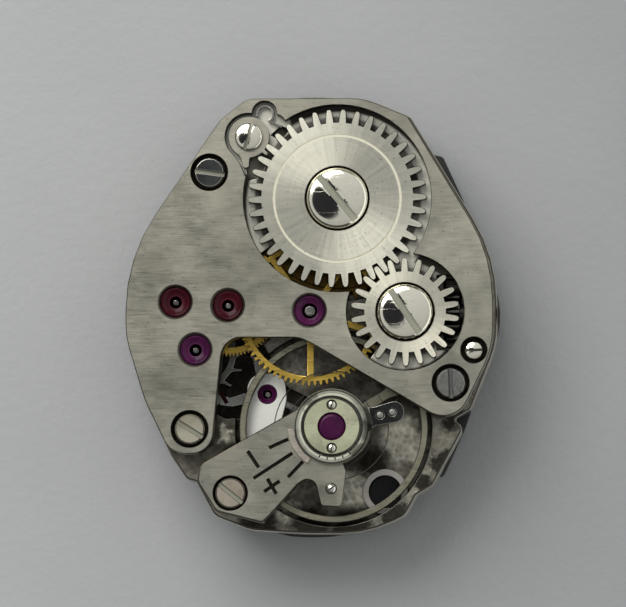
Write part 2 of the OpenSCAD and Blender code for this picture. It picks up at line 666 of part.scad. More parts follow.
module screw_bores() {
    for (p = concat(bridge_screws_at, [blued_screw_at, cock_screw_at]))
        at(p, plate_t - 1) cylinder(r = bridge_shank_r + fit, h = 2);
    for (p = pallet_screws_at)
        at(p, balance_floor_z - 0.4) cylinder(r = small_shank_r + fit, h = plate_t);
    for (s = [-1, 1])
        at(balance_at + [0, s * cap_screw_r], 0) cylinder(r = small_shank_r + fit, h = cap_plate_t + 0.3);
    at(lever_at, -tiny) cylinder(r = lever_shank_r + run, h = plate_t + 1);
    for (i = [0, 1]) {
        at(dial_feet_at[i], -tiny) cylinder(r = dial_foot_r + fit, h = dial_foot_h + 0.05);
        at(dial_feet_at[i], foot_screw_z) rotate([0, 0, foot_screw_bearings[i]]) rotate([0, 90, 0])
            cylinder(r = foot_screw_r + fit, h = 3);
    }
}

module main_plate() {
    color(nickel) {
        difference() {
            at([0, 0]) slab(grown(rounded(plate_corners), plate_margin), plate_t);
            barrel_pocket();
            train_pockets();
            fork_pocket();
            plate_jewel_holes();
            motion_recess();
            stem_room();
            keyless_recess();
            screw_bores();
            at(sight_hole_at, -tiny) cylinder(r = sight_hole_r, h = plate_t);
        }
        at(minute_at, 0.04) cylinder(r = motion_post_r, h = minute_recess_h);
        at(setting_at, 0.04) cylinder(r = motion_post_r, h = setting_recess_h);
        at(sight_hole_at, balance_floor_z - tiny) pipe(sight_hole_r + 0.22, sight_hole_r, 0.08);
        at(yoke_at, 0.04) cylinder(r = yoke_post_r, h = lever_recess_h);
    }
}
motion_post_r = 0.18;

// Train bridge
module bridge_openings() {
    at(hands_at, plate_t - tiny) cylinder(r = centre_tip_r + 0.08, h = recess_z - plate_t + 2 * tiny);
    at(third_at, plate_t - tiny)
        cylinder(r = pitch_r(centre_module, third_leaves) + 0.12, h = recess_z - plate_t);
    for (p = [fourth_at, escape_at])
        at(p, plate_t - tiny)
            cylinder(r = pitch_r(third_module, fourth_leaves) + 0.1, h = jewel_z - plate_t - 0.1);
    for (p = [third_at, fourth_at, escape_at])
        at(p, plate_t) cylinder(r = arbor_r + 0.08, h = jewel_z - plate_t + tiny);
    at(hands_at, plate_t) cylinder(r = centre_pivot_r + 0.1, h = jewel_z - plate_t + tiny);
    at(balance_at, plate_t - tiny) cylinder(r = balance_pocket_r, h = pass);
    at(barrel_at, plate_t - tiny) cylinder(r = barrel_pivot_r + run, h = bridge_t);
    at(barrel_at, recess_z) cylinder(r = ratchet_tip_r + ratchet_gap, h = bridge_t);
    at(crown_at, recess_z) cylinder(r = crown_tip_r + ratchet_gap, h = bridge_t);
}

module jewel_seats() {
    for (p = [hands_at, third_at, fourth_at, escape_at]) {
        at(p, jewel_z) cylinder(r = jewel_r + fit, h = bridge_t);
        at(p, jewel_top) cylinder(r1 = jewel_r + fit, r2 = sink_r, h = bridge_top - jewel_top + tiny);
    }
}

click_room = [[-0.72, -0.35], [-0.3, -0.95], [-0.1, -1.4], [0.6, -1.3], [1.6, -1], [0.6, 0.3]];
module click_recess() {
    at(click_at, recess_z) cylinder(r = click_r + 0.1, h = bridge_t);
    at(click_at, recess_z) slab(click_room, bridge_t);
    for (p = click_pits)
        at(click_at, recess_z - 0.45) slab(p, bridge_t);
    at(click_spring_at, recess_z) cylinder(r = click_spring_r + 0.1, h = bridge_t);
    at(click_spring_at + [0.4, -0.38], recess_z) cylinder(r = click_spring_r, h = bridge_t);
}
click_pits = [[[-0.14, -0.8], [-0.04, -1.49], [0.34, -1.42], [0.69, -0.73], [0.48, -0.45]],
    [[0.75, 0.1], [1.1, 0.42], [1.42, 0.3], [1.1, -0.12]]];
click_spring_at = click_at + [0.56, 0.82];
click_spring_r = 0.33;

// The opening beside the crown wheel, over the winding pinion
module crown_window() {
    at(crown_at, plate_t - tiny) intersection() {
        cylinder(r = crown_tip_r + ratchet_gap, h = bridge_t);
        translate([1.1, -1.3, 0]) cube([2, 2.6, bridge_t]);
    }
}

module bridge_screw_holes() {
    for (p = concat(bridge_screws_at, [blued_screw_at])) {
        at(p, plate_t - tiny) cylinder(r = bridge_shank_r + 2 * fit, h = bridge_t);
        at(p, bridge_top - head_t - head_sunk) cylinder(r = bridge_head_r + head_gap, h = bridge_t);
    }
    at(lever_at, plate_t - tiny) cylinder(r = lever_shank_r + run, h = bridge_t);
    at(lever_at, bridge_top - head_t) cylinder(r = lever_head_r + 0.15, h = bridge_t);
    at(click_at, recess_z - 0.4) cylinder(r = 0.2 + fit, h = 0.4 + tiny);
    at(crown_at, recess_z - 0.12) cylinder(r = 0.3 + fit, h = 0.2);
}

module train_bridge() {
    color(nickel) difference() {
        at([0, 0], plate_t) slab(rounded(bridge_corners), bridge_t);
        bridge_openings();
        jewel_seats();
        click_recess();
        crown_window();
        bridge_screw_holes();
        stem_room();
    }
}

// Balance cock, with its foot outside the balance and a thin table over the hairspring
cock_mark_depth = 0.06;
cock_mark_w = 0.11;
module cock_mark(p, angle, l) {
    at(p, bridge_top - cock_mark_depth) rotate([0, 0, angle]) translate([-l / 2, -cock_mark_w / 2, 0])
        cube([l, cock_mark_w, cock_mark_depth + tiny]);
}

cock_boss_r = regulator_r + 0.04;
module balance_cock() {
    color(nickel) difference() {
        union() {
            at([0, 0], plate_t) slab(rounded(cock_corners), bridge_t);
            at(balance_at, plate_t) cylinder(r = cock_boss_r, h = bridge_t);
            at(balance_at, cock_z) slab(sector(regulator_r + 0.03, 1.54, 184, 236), cock_t + 0.1);
        }
        at(balance_at, plate_t - tiny) cylinder(r = balance_pocket_r + 0.02, h = cock_z - plate_t);
        at(balance_at, plate_t) cylinder(r = 0.3, h = bridge_t);
        at(balance_at, high_hole_z) cylinder(r = low_jewel_r + fit, h = bridge_t);
        at(balance_at, high_cap_z) cylinder(r = cap_jewel_r + fit, h = bridge_t);
        for (s = [-1, 1])
            at(balance_at + [0, s * cap_screw_r], cock_z - tiny)
                cylinder(r = small_shank_r + fit, h = bridge_t);
        at(cock_screw_at, plate_t - tiny) cylinder(r = bridge_shank_r + 2 * fit, h = bridge_t);
        at(cock_screw_at, bridge_top - head_t - head_sunk) cylinder(r = bridge_head_r + 0.08, h = bridge_t);
        at(stud_at, plate_t) cylinder(r = stud_r + fit, h = bridge_t + tiny);
        at(stud_at, stud_screw_z) rotate([90, 0, stud_bearing + 90]) cylinder(r = stud_screw_r + fit, h = 2);
        cock_mark([-1.95, -5.18], -56, 0.68);
        cock_mark([-1.06, -4.63], 24, 0.72);
        cock_mark([-1.26, -5.4], 33, 1.6);
        cock_mark([-0.48, -5.53], 47, 0.74);
        cock_mark([-1.3, -6.12], 34, 0.64);
        cock_mark([-1.3, -6.12], 120, 0.6);
    }
}
high_hole_z = cock_z + 0.02;
high_cap_z = high_hole_z + low_hole_jewel_t + 0.02;
stud_screw_r = 0.11;
stud_screw_z = cock_z + cock_t / 2;

// Pallet bridge, a bright plate across the fork's pocket
pallet_bridge_corners = [[-2.35, -3.3, 0.8], [-2.2, -2.1, 0.55], [-0.97, -2.1, 0.5], [-0.88, -3.0, 0.6],
    [-1.38, -5.0, 0.2], [-2.4, -5.0, 0.3]];
module pallet_bridge() {
    color("white") difference() {
        at([0, 0], pallet_bridge_z) slab(rounded(pallet_bridge_corners), pallet_bridge_t);
        at(pallet_at, pallet_bridge_z - tiny) cylinder(r = pallet_jewel_r + fit, h = 1);
        for (p = pallet_screws_at)
            at(p, pallet_bridge_z - tiny) cylinder(r = small_shank_r + fit, h = 1);
    }
}

// Dial: a plain cut-cornered oval with twelve batons on its face and two feet in the plate
baton_h = 0.06;
function dial_quarter(corners, sx, sy) = [for (c = sx * sy > 0 ? corners : reversed(corners))
    if (c.y > 0 || sy > 0) [sx * c.x * dial_half_w, sy * c.y * dial_half_l, c[2]]];
dial_outline = rounded(concat(dial_quarter(dial_right_corners, 1, 1), dial_quarter(dial_corners, -1, 1),
    dial_quarter(dial_corners, -1, -1), dial_quarter(dial_right_corners, 1, -1)));
module dial() {
    color("dimgray") {
        difference() {
            at([0, 0], -dial_t) slab(dial_outline, dial_t);
            at(hands_at, -dial_t - tiny) cylinder(r = hour_pipe_r + 0.08, h = 2 * dial_t);
        }
        for (i = [0, 1])
            at(dial_feet_at[i], -tiny) cylinder(r = dial_foot_r, h = dial_foot_h);
        for (k = [0:11]) {
            reach = k % 3 == 0 ? 1.3 : 0.9;
            at([0, 0], -dial_t - baton_h) rotate([0, 0, 30 * k])
                translate([4.6 + 0.55 * abs(sin(30 * k)), -0.11, 0]) cube([reach, 0.22, baton_h + tiny]);
        }
    }
}

// Screws
module bridge_screw(p, angle) {
    at(p, bridge_top - head_t - head_sunk)
        screw(bridge_head_r, head_t, bridge_shank_r, bridge_t - head_t + 0.85, angle);
}

module bridge_screws() {
    color(steel) for (i = [0, 1])
        bridge_screw(bridge_screws_at[i], bridge_slots[i]);
}

module blued_bridge_screw() {
    color("midnightblue") bridge_screw(blued_screw_at, -8);
}

module cock_screw() {
    color(steel) bridge_screw(cock_screw_at, -39);
}

module pallet_bridge_screws() {
    color(steel) for (p = pallet_screws_at)
        at(p, pallet_bridge_z + pallet_bridge_t)
            screw(0.17, 0.07, small_shank_r, pallet_bridge_t + 0.35, 20, 0.05, 0.04);
}

lever_screw_z = bridge_top - head_t + 0.02;
module setting_lever_screw() {
    color(steel) at(lever_at, lever_screw_z)
        screw(lever_head_r, head_t - 0.08, lever_shank_r, lever_screw_z - lever_z, 3, 0.09, 0.08, 0.05);
}

module click_screw() {
    color(steel) at(click_at, recess_z + 0.03 + click_t + 0.03) {
        screw(click_head_r, 0.2, 0.2, click_t + 0.4, 73, 0.12, 0.1, 0.06);
        translate([0, 0, -click_t - 0.06]) cylinder(r = click_shoulder_r, h = click_t + 0.06);
    }
}

module ratchet_screw() {
    color(steel) at(barrel_at, ratchet_z + ratchet_t + tiny)
        screw(ratchet_head_r, 0.24, 0.2, 0.7, -50, 0.25, 0.14, 0.1, $fn = 96);
}

module crown_wheel_screw() {
    color(steel) at(crown_at, ratchet_z + ratchet_t + 0.02)
        screw(crown_head_r, 0.24, 0.3, ratchet_t + 0.05 + 0.1, -56, 0.24, 0.14, 0.1, $fn = 96);
}

module crown_wheel_core() {
    color(steel) at(crown_at, recess_z) pipe(crown_core_r, 0.3 + fit, ratchet_t + 0.5 * pass + 0.02 - tiny);
}

module dial_foot_screws() {
    color(steel) for (i = [0, 1])
        at(dial_feet_at[i], foot_screw_z) rotate([0, 0, foot_screw_bearings[i]])
            translate([foot_screw_starts[i] + fit, 0, 0]) rotate([0, 90, 0]) difference() {
                cylinder(r = foot_screw_r, h = foot_screw_l);
                translate([-foot_screw_r, -0.04, foot_screw_l - 0.06]) cube([2 * foot_screw_r, 0.08, 0.1]);
            }
}

// Jewels
module bridge_jewels() {
    color(ruby) {
        at(hands_at, jewel_z) jewel(jewel_r, jewel_t, centre_pivot_r + run);
        for (p = [third_at, fourth_at, escape_at])
            at(p, jewel_z) jewel(jewel_r, jewel_t, pivot_r + run);
    }
}

module plate_jewels() {
    color(ruby) {
        at(hands_at, centre_jewel_z) jewel(centre_low_jewel_r, jewel_t - 0.02, centre_arbor_r + run);
        for (j = [for (i = [0:3]) low_jewels[i]])
            at(j[0], j[1]) jewel(j[2], jewel_t - 0.02, pivot_r + run);
    }
}

module pallet_bridge_jewel() {
    color(ruby) at(pallet_at, pallet_bridge_z) jewel(pallet_jewel_r, pallet_bridge_t - 0.02, pivot_r + run);
}

module balance_jewels() {
    color(ruby) {
        at(balance_at, low_hole_z) jewel(low_jewel_r, low_hole_jewel_t, balance_pivot_r + run);
        at(balance_at, high_hole_z) jewel(low_jewel_r, low_hole_jewel_t, balance_pivot_r + run);
    }
}

// The upper cap jewel is domed and stands up through its plate; the lower one is flat
high_cap_jewel_t = bridge_top + cap_plate_t - high_cap_z + 0.02;
module cap_jewels() {
    color(ruby) {
        at(balance_at, low_cap_z) cylinder(r = cap_jewel_r, h = low_cap_jewel_t);
        at(balance_at, high_cap_z) rotate_extrude() polygon([[0, 0], [cap_jewel_r, 0],
            [cap_jewel_r, high_cap_jewel_t - 0.1], [0.7 * cap_jewel_r, high_cap_jewel_t - 0.03],
            [0, high_cap_jewel_t]]);
    }
}

module cap_plate(z, hole) {
    at(balance_at, z) difference() {
        rotate_extrude() polygon([[0, 0], [cap_plate_r, 0], [cap_plate_r, cap_plate_t - 0.05],
            [cap_plate_r - 0.05, cap_plate_t], [0, cap_plate_t]]);
        if (hole > 0) translate([0, 0, -tiny]) cylinder(r = hole, h = 1);
        for (s = [-1, 1]) {
            translate([0, s * cap_screw_r, -tiny]) cylinder(r = small_shank_r + fit, h = 1);
            translate([0, s * cap_screw_r, cap_plate_t - 0.1]) cylinder(r = small_head_r + 0.02, h = 1);
        }
    }
}

module cap_plates() {
    color("beige") {
        cap_plate(bridge_top, cap_jewel_r + fit);
        translate([0, 2 * balance_at.y, 2 * plate_z + cap_plate_t + 0.02]) rotate([180, 0, 0])
            cap_plate(0, 0);
    }
}

module cap_plate_screws() {
    color(steel) for (s = [-1, 1]) {
        at(balance_at + [0, s * cap_screw_r], bridge_top + cap_plate_t - 0.1)
            screw(small_head_r, 0.12, small_shank_r, 0.45, 75, 0.05, 0.05, 0.05);
        at(balance_at + [0, s * cap_screw_r], 0.12) rotate([180, 0, 0])
            screw(small_head_r, 0.1, small_shank_r, 0.35, 75, 0.05, 0.04);
    }
}

// Regulator with its tail, and the two curb pins that hold the hairspring's outer turn
curb_pins_at = [outer_turn_r - 0.22, outer_turn_r + 0.22];
tail_corners = [[0.9, -0.5, 0], [1.25, -0.45, 0.1], [1.5, -0.31, 0.15], [2.56, -0.38, 0.33],
    [2.56, 0.38, 0.33], [1.5, 0.31, 0.15], [1.25, 0.4, 0.1], [0.9, 0.4, 0]];
module regulator() {
    color("slategray") at(balance_at, bridge_top + 0.01) rotate([0, 0, regulator_bearing]) difference() {
        union() {
            cylinder(r = regulator_r, h = regulator_t);
            slab(rounded([for (c = tail_corners) [c.x * regulator_reach / 2.56, c.y, c[2]]]), regulator_t);
        }
        translate([0, 0, -tiny]) cylinder(r = cap_plate_r + run, h = 1);
        for (r = curb_pins_at)
            translate([r, 0, -tiny]) cylinder(r = curb_pin_r + fit, h = 1);
        for (a = [-125:14:-69])
            rotate([0, 0, a]) translate([cap_plate_r, -0.02, regulator_t - 0.04]) cube([0.17, 0.04, 1]);
    }
}

module curb_pins() {
    z = hairspring_z - 0.05;
    color(steel) at(balance_at, z) rotate([0, 0, regulator_bearing])
        for (r = curb_pins_at)
            translate([r, 0, 0]) cylinder(r = curb_pin_r, h = bridge_top + regulator_t + 0.06 - z);
}

// Stud, with a cut that takes the hairspring's end
module hairspring_stud() {
    low = hairspring_z - 0.05;
    shaft_h = bridge_top - 0.02 - low;
    dome_h = 0.15;
    steps = 5;
    color(steel) difference() {
        at(stud_at, low) rotate_extrude() polygon(concat([[0, 0], [stud_r, 0]],
            [for (k = [0:steps]) let (a = 90 * k / steps) [stud_r * cos(a), shaft_h + dome_h * sin(a)]]));
        at(stud_at, low + shaft_h + 0.08) rotate([0, 0, 35]) translate([-0.3, -0.025, 0])
            cube([0.6, 0.05, 0.1]);
        hairspring_strip(hairspring_t + 2 * fit, hairspring_h + 2 * fit, -fit);
    }
}

module stud_screw() {
    color(steel) at(stud_at, stud_screw_z) rotate([90, 0, stud_bearing + 90])
        translate([0, 0, stud_r + fit]) cylinder(r = stud_screw_r, h = 0.4);
}

// Hairspring: a flat spiral, then an even outer turn past the curb pins, then out to the stud
inner_turn_r = collet_r + 0.03 + hairspring_t / 2;
spiral_r = outer_turn_r - 0.44;
hairspring_end = hairspring_turns * 360 + stud_bearing + 360;
even_from = hairspring_turns * 360 - 30;
even_to = even_from + 80;
spiral_to = even_from - 200;
function between(low, high, share) = low + (high - low) * share;
function spring_r(a) =
    a < spiral_to ? between(inner_turn_r, spiral_r, a / spiral_to)
    : a < even_from ? between(spiral_r, outer_turn_r, (a - spiral_to) / (even_from - spiral_to))
    : a < even_to ? outer_turn_r
    : between(outer_turn_r, stud_at_r - 0.03, (a - even_to) / (hairspring_end - even_to));
module hairspring_strip(t, h, dz) {
    steps = hairspring_turns * 20 + 15;
    angles = [for (k = [0:steps]) hairspring_end * k / steps];
    at(balance_at, hairspring_z + dz) slab(concat(
        [for (a = angles) polar(spring_r(a) + t / 2, a)],
        [for (k = [steps:-1:0]) polar(spring_r(angles[k]) - t / 2, angles[k])]), h);
}

module hairspring() {
    color("darkblue") hairspring_strip(hairspring_t, hairspring_h, 0);
}

// Balance assembly
staff_r = 0.16;
module collet() {
    color(brass) at(balance_at, hairspring_z - 0.05) difference() {
        pipe(collet_r, staff_r + fit, hairspring_h + 0.08);
        rotate([0, 0, 120]) translate([0, -0.03, -tiny]) cube([1, 0.06, 1]);
    }
}

balance_arms = [33, 213];
balance_arm_z = balance_z + 0.06;
module balance_wheel() {
    inner = balance_r - balance_rim_w;
    arm = [[0, balance_arm_w / 2], [inner - 0.9, balance_arm_w / 2], [inner - 0.25, balance_arm_w],
        [inner + 0.05, 2 * balance_arm_w]];
    color("darkkhaki") {
        at(balance_at, balance_z) pipe(balance_r, inner, balance_rim_h);
        difference() {
            union() {
                at(balance_at, balance_arm_z) cylinder(r = balance_hub_r, h = balance_arm_h);
                for (a = balance_arms)
                    at(balance_at, balance_arm_z) rotate([0, 0, a]) slab(concat(
                        [for (p = arm) [p.x, -p.y]],
                        [for (i = [len(arm) - 1:-1:0]) arm[i]]), balance_arm_h);
            }
            at(balance_at, balance_z) cylinder(r = staff_r + fit, h = 1);
        }
    }
}

low_pivot_z = low_hole_z - 0.01;
high_pivot_z = high_cap_z - 0.01;
module balance_staff() {
    low_shoulder = low_hole_z + low_hole_jewel_t + shake;
    high_shoulder = high_hole_z - shake;
    color(steel) at(balance_at, 0) {
        translate([0, 0, low_pivot_z]) cylinder(r = balance_pivot_r, h = high_pivot_z - low_pivot_z);
        translate([0, 0, low_shoulder]) cylinder(r = staff_r, h = high_shoulder - low_shoulder);
        translate([0, 0, balance_arm_z + balance_arm_h]) cylinder(r = 0.3, h = 0.12);
    }
}

roller_z = pallet_bridge_z + 0.04;
roller_t = 0.12;
impulse_bearing = balance_bearing + 180;
module roller() {
    color(steel) at(balance_at, roller_z) difference() {
        union() {
            cylinder(r = roller_r, h = roller_t);
            translate([0, 0, -0.1]) cylinder(r = 0.3, h = 0.1 + tiny);
        }
        translate([0, 0, -1]) cylinder(r = staff_r + fit, h = 2);
        rotate([0, 0, impulse_bearing]) translate([impulse_r, 0, -1])
            cylinder(r = impulse_jewel_r + fit, h = 2);
    }
}

module impulse_jewel() {
    color(ruby) at(balance_at, fork_z + 0.02) rotate([0, 0, impulse_bearing])
        translate([impulse_r, 0, 0]) cylinder(r = impulse_jewel_r, h = roller_z + roller_t - fork_z - 0.02);
}

// Pallet fork: two arms that hold the stones, and a lever with a notch for the impulse jewel
stone_angle = 30;
notch_at = balance_distance - impulse_r;
wheel_side = pallet_bearing + 180 - balance_bearing;
fork_arm = [[0.15, 0.32], [0.85, 1.0], [1.25, 1.18], [1.52, 1.12], [1.5, 0.86], [1.1, 0.8], [0.6, 0.25]];
fork_lever = [[0.2, lever_w / 2], [notch_at - 0.35, lever_w / 2], [notch_at - 0.22, 0.24],
    [notch_at + 0.1, 0.24]];
module fork_outline() {
    arms = len(fork_arm) - 1;
    ends = len(fork_lever) - 1;
    difference() {
        union() {
            circle(r = 0.3);
            polygon(concat(
                [for (i = [ends:-1:0]) fork_lever[i]],
                [for (p = fork_arm) turned([p.x, -p.y], wheel_side)],
                [for (i = [arms:-1:0]) turned(fork_arm[i], wheel_side)],
                [for (p = fork_lever) [p.x, -p.y]]));
        }
        translate([notch_at - 0.13, -impulse_jewel_r - 0.03]) square([0.5, 2 * impulse_jewel_r + 0.06]);
        circle(r = arbor_r + fit);
        for (s = [-1, 1]) stone_outline(s, fit);
    }
}

module stone_outline(s, grow) {
    rotate(-balance_bearing) translate(escape_at - pallet_at) rotate(pallet_bearing + s * stone_angle)
        translate([escape_tip_r - stone_lock - grow, -stone_w / 2 - grow])
            square([stone_l + grow, stone_w + 2 * grow]);
}

module pallet_fork() {
    color(steel) at(pallet_at, fork_z) rotate([0, 0, balance_bearing]) linear_extrude(fork_t) fork_outline();
}

module pallet_staff() {
    low = fork_floor_z + shake;
    high = pallet_bridge_z - shake;
    color(steel) at(pallet_at, 0) {
        translate([0, 0, low]) cylinder(r = arbor_r, h = high - low);
        translate([0, 0, low - jewel_t]) cylinder(r = pivot_r, h = high - low + jewel_t + pallet_bridge_t);
    }
}

module pallet_stones() {
    color(ruby) at(pallet_at, fork_z) rotate([0, 0, balance_bearing]) linear_extrude(fork_t)
        for (s = [-1, 1]) stone_outline(s, 0);
}

// Escape wheel: club teeth, with one tooth standing just beside the entry stone
escape_phase = pallet_bearing + stone_angle + 5;
club = [[0.8, -4], [0.88, 1.2], [1, 4.6], [0.975, 7], [0.92, 5.4], [0.8, 3]];
module escape_wheel() {
    color(brass) at(escape_at, escape_z) difference() {
        slab([for (k = [0:escape_teeth - 1], c = club)
            polar(c[0] * escape_tip_r, escape_phase - 7 + c[1] + k * 360 / escape_teeth)], escape_t);
        crossings(4, 0.36, 0.66 * escape_tip_r, 10, 0.16, escape_t);
        translate([0, 0, -tiny]) cylinder(r = arbor_r + fit, h = 1);
    }
}

module escape_pinion() {
    color(steel) at(escape_at, 0)
        train_arbor(escape_leaves, fourth_module, escape_pinion_phase, escape_z + escape_t + pass,
            fourth_z + fourth_t + pass);
}

module fourth_wheel() {
    color(gold) at(fourth_at, fourth_z)
        train_wheel(fourth_teeth, fourth_module, fourth_t, 0.34, arbor_r + fit, 5, 20);
}

module fourth_pinion() {
    color(steel) at(fourth_at, 0)
        train_arbor(fourth_leaves, third_module, fourth_pinion_phase, fourth_z + fourth_t + pass,
            third_z + third_t + pass);
}

module third_wheel() {
    color(gold) at(third_at, third_z)
        train_wheel(third_teeth, third_module, third_t, 0.38, arbor_r + fit, 5, 10);
}

module third_pinion() {
    color(steel) at(third_at, 0)
        train_arbor(third_leaves, centre_module, third_pinion_phase, third_z + third_t + pass,
            centre_z + centre_t + pass);
}

centre_seat_r = 0.44;
module centre_wheel() {
    color(gold) at(hands_at, centre_z)
        train_wheel(centre_teeth, centre_module, centre_t, centre_hub_r, centre_seat_r + fit, 5, 54);
}

module centre_pinion() {
    low = centre_jewel_z + jewel_t + shake;
    color(steel) at(hands_at, 0) {
        translate([0, 0, -plate_z + 0.08]) cylinder(r = centre_arbor_r, h = plate_z + low);
        translate([0, 0, low]) slab(toothed(centre_leaves, barrel_module, pinion_form, 0), drum_top - low);
        translate([0, 0, drum_top]) cylinder(r = centre_seat_r, h = centre_z + centre_t - drum_top + 0.04);
        translate([0, 0, centre_z]) cylinder(r = centre_pivot_r + 0.06, h = jewel_z - shake - centre_z);
        translate([0, 0, centre_z]) cylinder(r = centre_pivot_r, h = jewel_top - centre_z);
    }
}

// Barrel
cover_r = drum_r - drum_wall + 0.08;
drum_top = drum_z + drum_h;
cover_z = drum_top - cover_t;
module barrel_drum() {
    color(gold) at(barrel_at, 0) difference() {
        union() {
            translate([0, 0, drum_z]) cylinder(r = drum_r, h = drum_h);
            translate([0, 0, drum_teeth_z])
                slab(toothed(barrel_teeth, barrel_module, wheel_form, barrel_phase), drum_teeth_h);
        }
        translate([0, 0, drum_z + drum_floor_t]) cylinder(r = drum_r - drum_wall, h = 2);
        translate([0, 0, cover_z - fit]) cylinder(r = cover_r + fit, h = 1);
        translate([0, 0, 0]) cylinder(r = barrel_pivot_r + run, h = 2);
    }
}

module barrel_cover() {
    color(gold) at(barrel_at, cover_z) pipe(cover_r, barrel_pivot_r + run, cover_t);
}

module barrel_arbor() {
    low = drum_z + drum_floor_t + shake;
    color(steel) at(barrel_at, 0) difference() {
        union() {
            translate([0, 0, low]) cylinder(r = core_r, h = cover_z - shake - low);
            translate([0, 0, 0.05]) cylinder(r = barrel_pivot_r, h = ratchet_z - 0.06);
            translate([-square_side / 2, -square_side / 2, recess_z])
                cube([square_side, square_side, ratchet_t + 0.5 * pass]);
        }
        translate([0, 0, ratchet_z + ratchet_t - 0.72]) cylinder(r = 0.2 + fit, h = 1);
    }
}

module mainspring() {
    low_r = core_r + 0.05 + mainspring_t / 2;
    high_r = drum_r - drum_wall - 0.05 - mainspring_t / 2;
    turn = 360 * mainspring_turns;
    steps = mainspring_turns * 16;
    z = drum_z + drum_floor_t + 2 * shake;
    half = mainspring_t / 2;
    color(steel) at(barrel_at, z) slab(concat(
        [for (k = [0:steps]) polar(between(low_r, high_r, k / steps) + half, turn * k / steps)],
        [for (k = [steps:-1:0]) polar(between(low_r, high_r, k / steps) - half, turn * k / steps)]),
        cover_z - 2 * shake - z);
}

// Ratchet wheel, with a groove turned round it
module ratchet_wheel() {
    color(steel) at(barrel_at, ratchet_z) difference() {
        slab(toothed(ratchet_teeth, ratchet_module, winding_form, ratchet_phase), ratchet_t);
        translate([-square_side / 2 - fit, -square_side / 2 - fit, -tiny])
            cube([square_side + 2 * fit, square_side + 2 * fit, 1]);
        translate([0, 0, ratchet_t - 0.02]) pipe(ratchet_circle_r + 0.03, ratchet_circle_r - 0.03, 0.1);
        head_groove(ratchet_head_r);
    }
}

// The groove round a winding screw's head
module head_groove(head_r) {
    translate([0, 0, ratchet_t - 0.12]) pipe(head_r + 0.08, head_r - 0.04, 0.2);
}

module crown_wheel() {
    color(steel) at(crown_at, ratchet_z) difference() {
        wheel_disc(crown_teeth, ratchet_module, winding_form, crown_phase, ratchet_t, crown_core_r + run);
        head_groove(crown_head_r);
    }
}

// Click: a round body with a beak in the ratchet wheel's teeth and a short tail
module click() {
    beak = click_tip - click_at;
    side = turned(unit(beak), 90);
    color(steel) at(click_at, recess_z + 0.03) difference() {
        union() {
            cylinder(r = click_r, h = click_t);
            slab([0.13 * side, 0.95 * beak + 0.06 * side, beak + 0.02 * side, beak - 0.02 * side,
                0.95 * beak - 0.06 * side, -0.13 * side], click_t);
            slab([0.62 * side, 0.7 * beak + 0.1 * side, 0.7 * beak - 0.1 * side, -0.62 * side], click_t);
            slab(rounded([[-0.66, -0.1, 0], [-0.25, -0.8, 0.1], [-0.2, -1.1, 0.07], [0, -1.06, 0.07],
                [0.02, -0.75, 0.1], [0.3, -0.5, 0]]), click_t);
        }
        translate([0, 0, -tiny]) cylinder(r = click_shoulder_r + run, h = 1);
    }
}

module click_spring() {
    z = recess_z + 0.05;
    arc = [for (a = [-70:15:200]) polar(click_spring_r - 0.08, a)];
    color(steel) at(click_spring_at, z) slab(concat([[0.62, -0.42], [0.58, -0.5]], arc,
        [for (a = [200:-15:-55]) polar(click_spring_r, a)]), 0.2);
}

// A ring of square teeth on the end of a pinion
module face_ring(count, radii, phase, h) {
    for (k = [0:count - 1])
        slab(sector(radii[0], radii[1], phase + (k + 0.27) * 360 / count,
            phase + (k + 0.73) * 360 / count), h);
}

// The winding pinion stands with a tooth straight up, in the middle of a gap between two crown teeth
winding_tooth = [[winding_root_r, -0.2], [winding_pitch_r, -0.16], [winding_tip_r, -0.08],
    [winding_tip_r, 0.08], [winding_pitch_r, 0.16], [winding_root_r, 0.2]];
crown_gap_offset = (crown_phase + 180 / crown_teeth) * crown_teeth / winding_teeth;
module winding_pinion() {
    color(steel) translate([winding_x, stem_y, plate_z + stem_z]) rotate([0, 90, 0]) difference() {
        union() {
            slab([for (k = [0:winding_teeth - 1], s = winding_tooth)
                polar(s[0], 180 - crown_gap_offset + (k + s[1]) * 360 / winding_teeth)], winding_face);
            translate([0, 0, -face_tooth_h]) face_ring(face_teeth, face_tooth_r, 0, face_tooth_h + tiny);
            cylinder(r = hub_r, h = winding_face + hub_l);
        }
        translate([0, 0, -1]) cylinder(r = stem_hole_r, h = 4);
    }
}

module sliding_pinion() {
    color(steel) translate([sliding_x, stem_y, plate_z + stem_z]) rotate([0, 90, 0]) difference() {
        union() {
            translate([0, 0, 0.12]) cylinder(r = sliding_r, h = groove_x - sliding_x - 0.12);
            cylinder(r = groove_r, h = sliding_l - face_tooth_h);
            translate([0, 0, groove_x + groove_w - sliding_x])
                cylinder(r = sliding_r, h = sliding_l - face_tooth_h - groove_w - groove_x + sliding_x);
            face_ring(12, [groove_r - 0.05, sliding_r - 0.02], 0, 0.12 + tiny);
            translate([0, 0, sliding_l - face_tooth_h - tiny])
                face_ring(face_teeth, face_tooth_r, 180 / face_teeth, face_tooth_h);
        }
        translate([-0.2, -0.2, -1]) cube([0.4, 0.4, 4]);
    }
}

// Setting work under the dial
module setting_lever() {
    color(steel) {
        difference() {
            at(lever_at, lever_z) union() {
                cylinder(r = 0.38, h = lever_t);
                slab([[-0.3, 0.2], [-0.22, 1.52], [0.18, 1.52], [0.36, 0.1]], lever_t);
                slab([[-0.1, 0.37], [-0.95, 0.3], [-1.1, 0.12], [-0.95, -0.05], [-0.2, -0.3]], lever_t);
            }
            at(lever_at, 0) cylinder(r = lever_shank_r + fit, h = 1);
        }
        at(lever_pin_at, lever_z) cylinder(r = 0.12, h = stem_z - hub_r - pass - lever_z);
    }
}

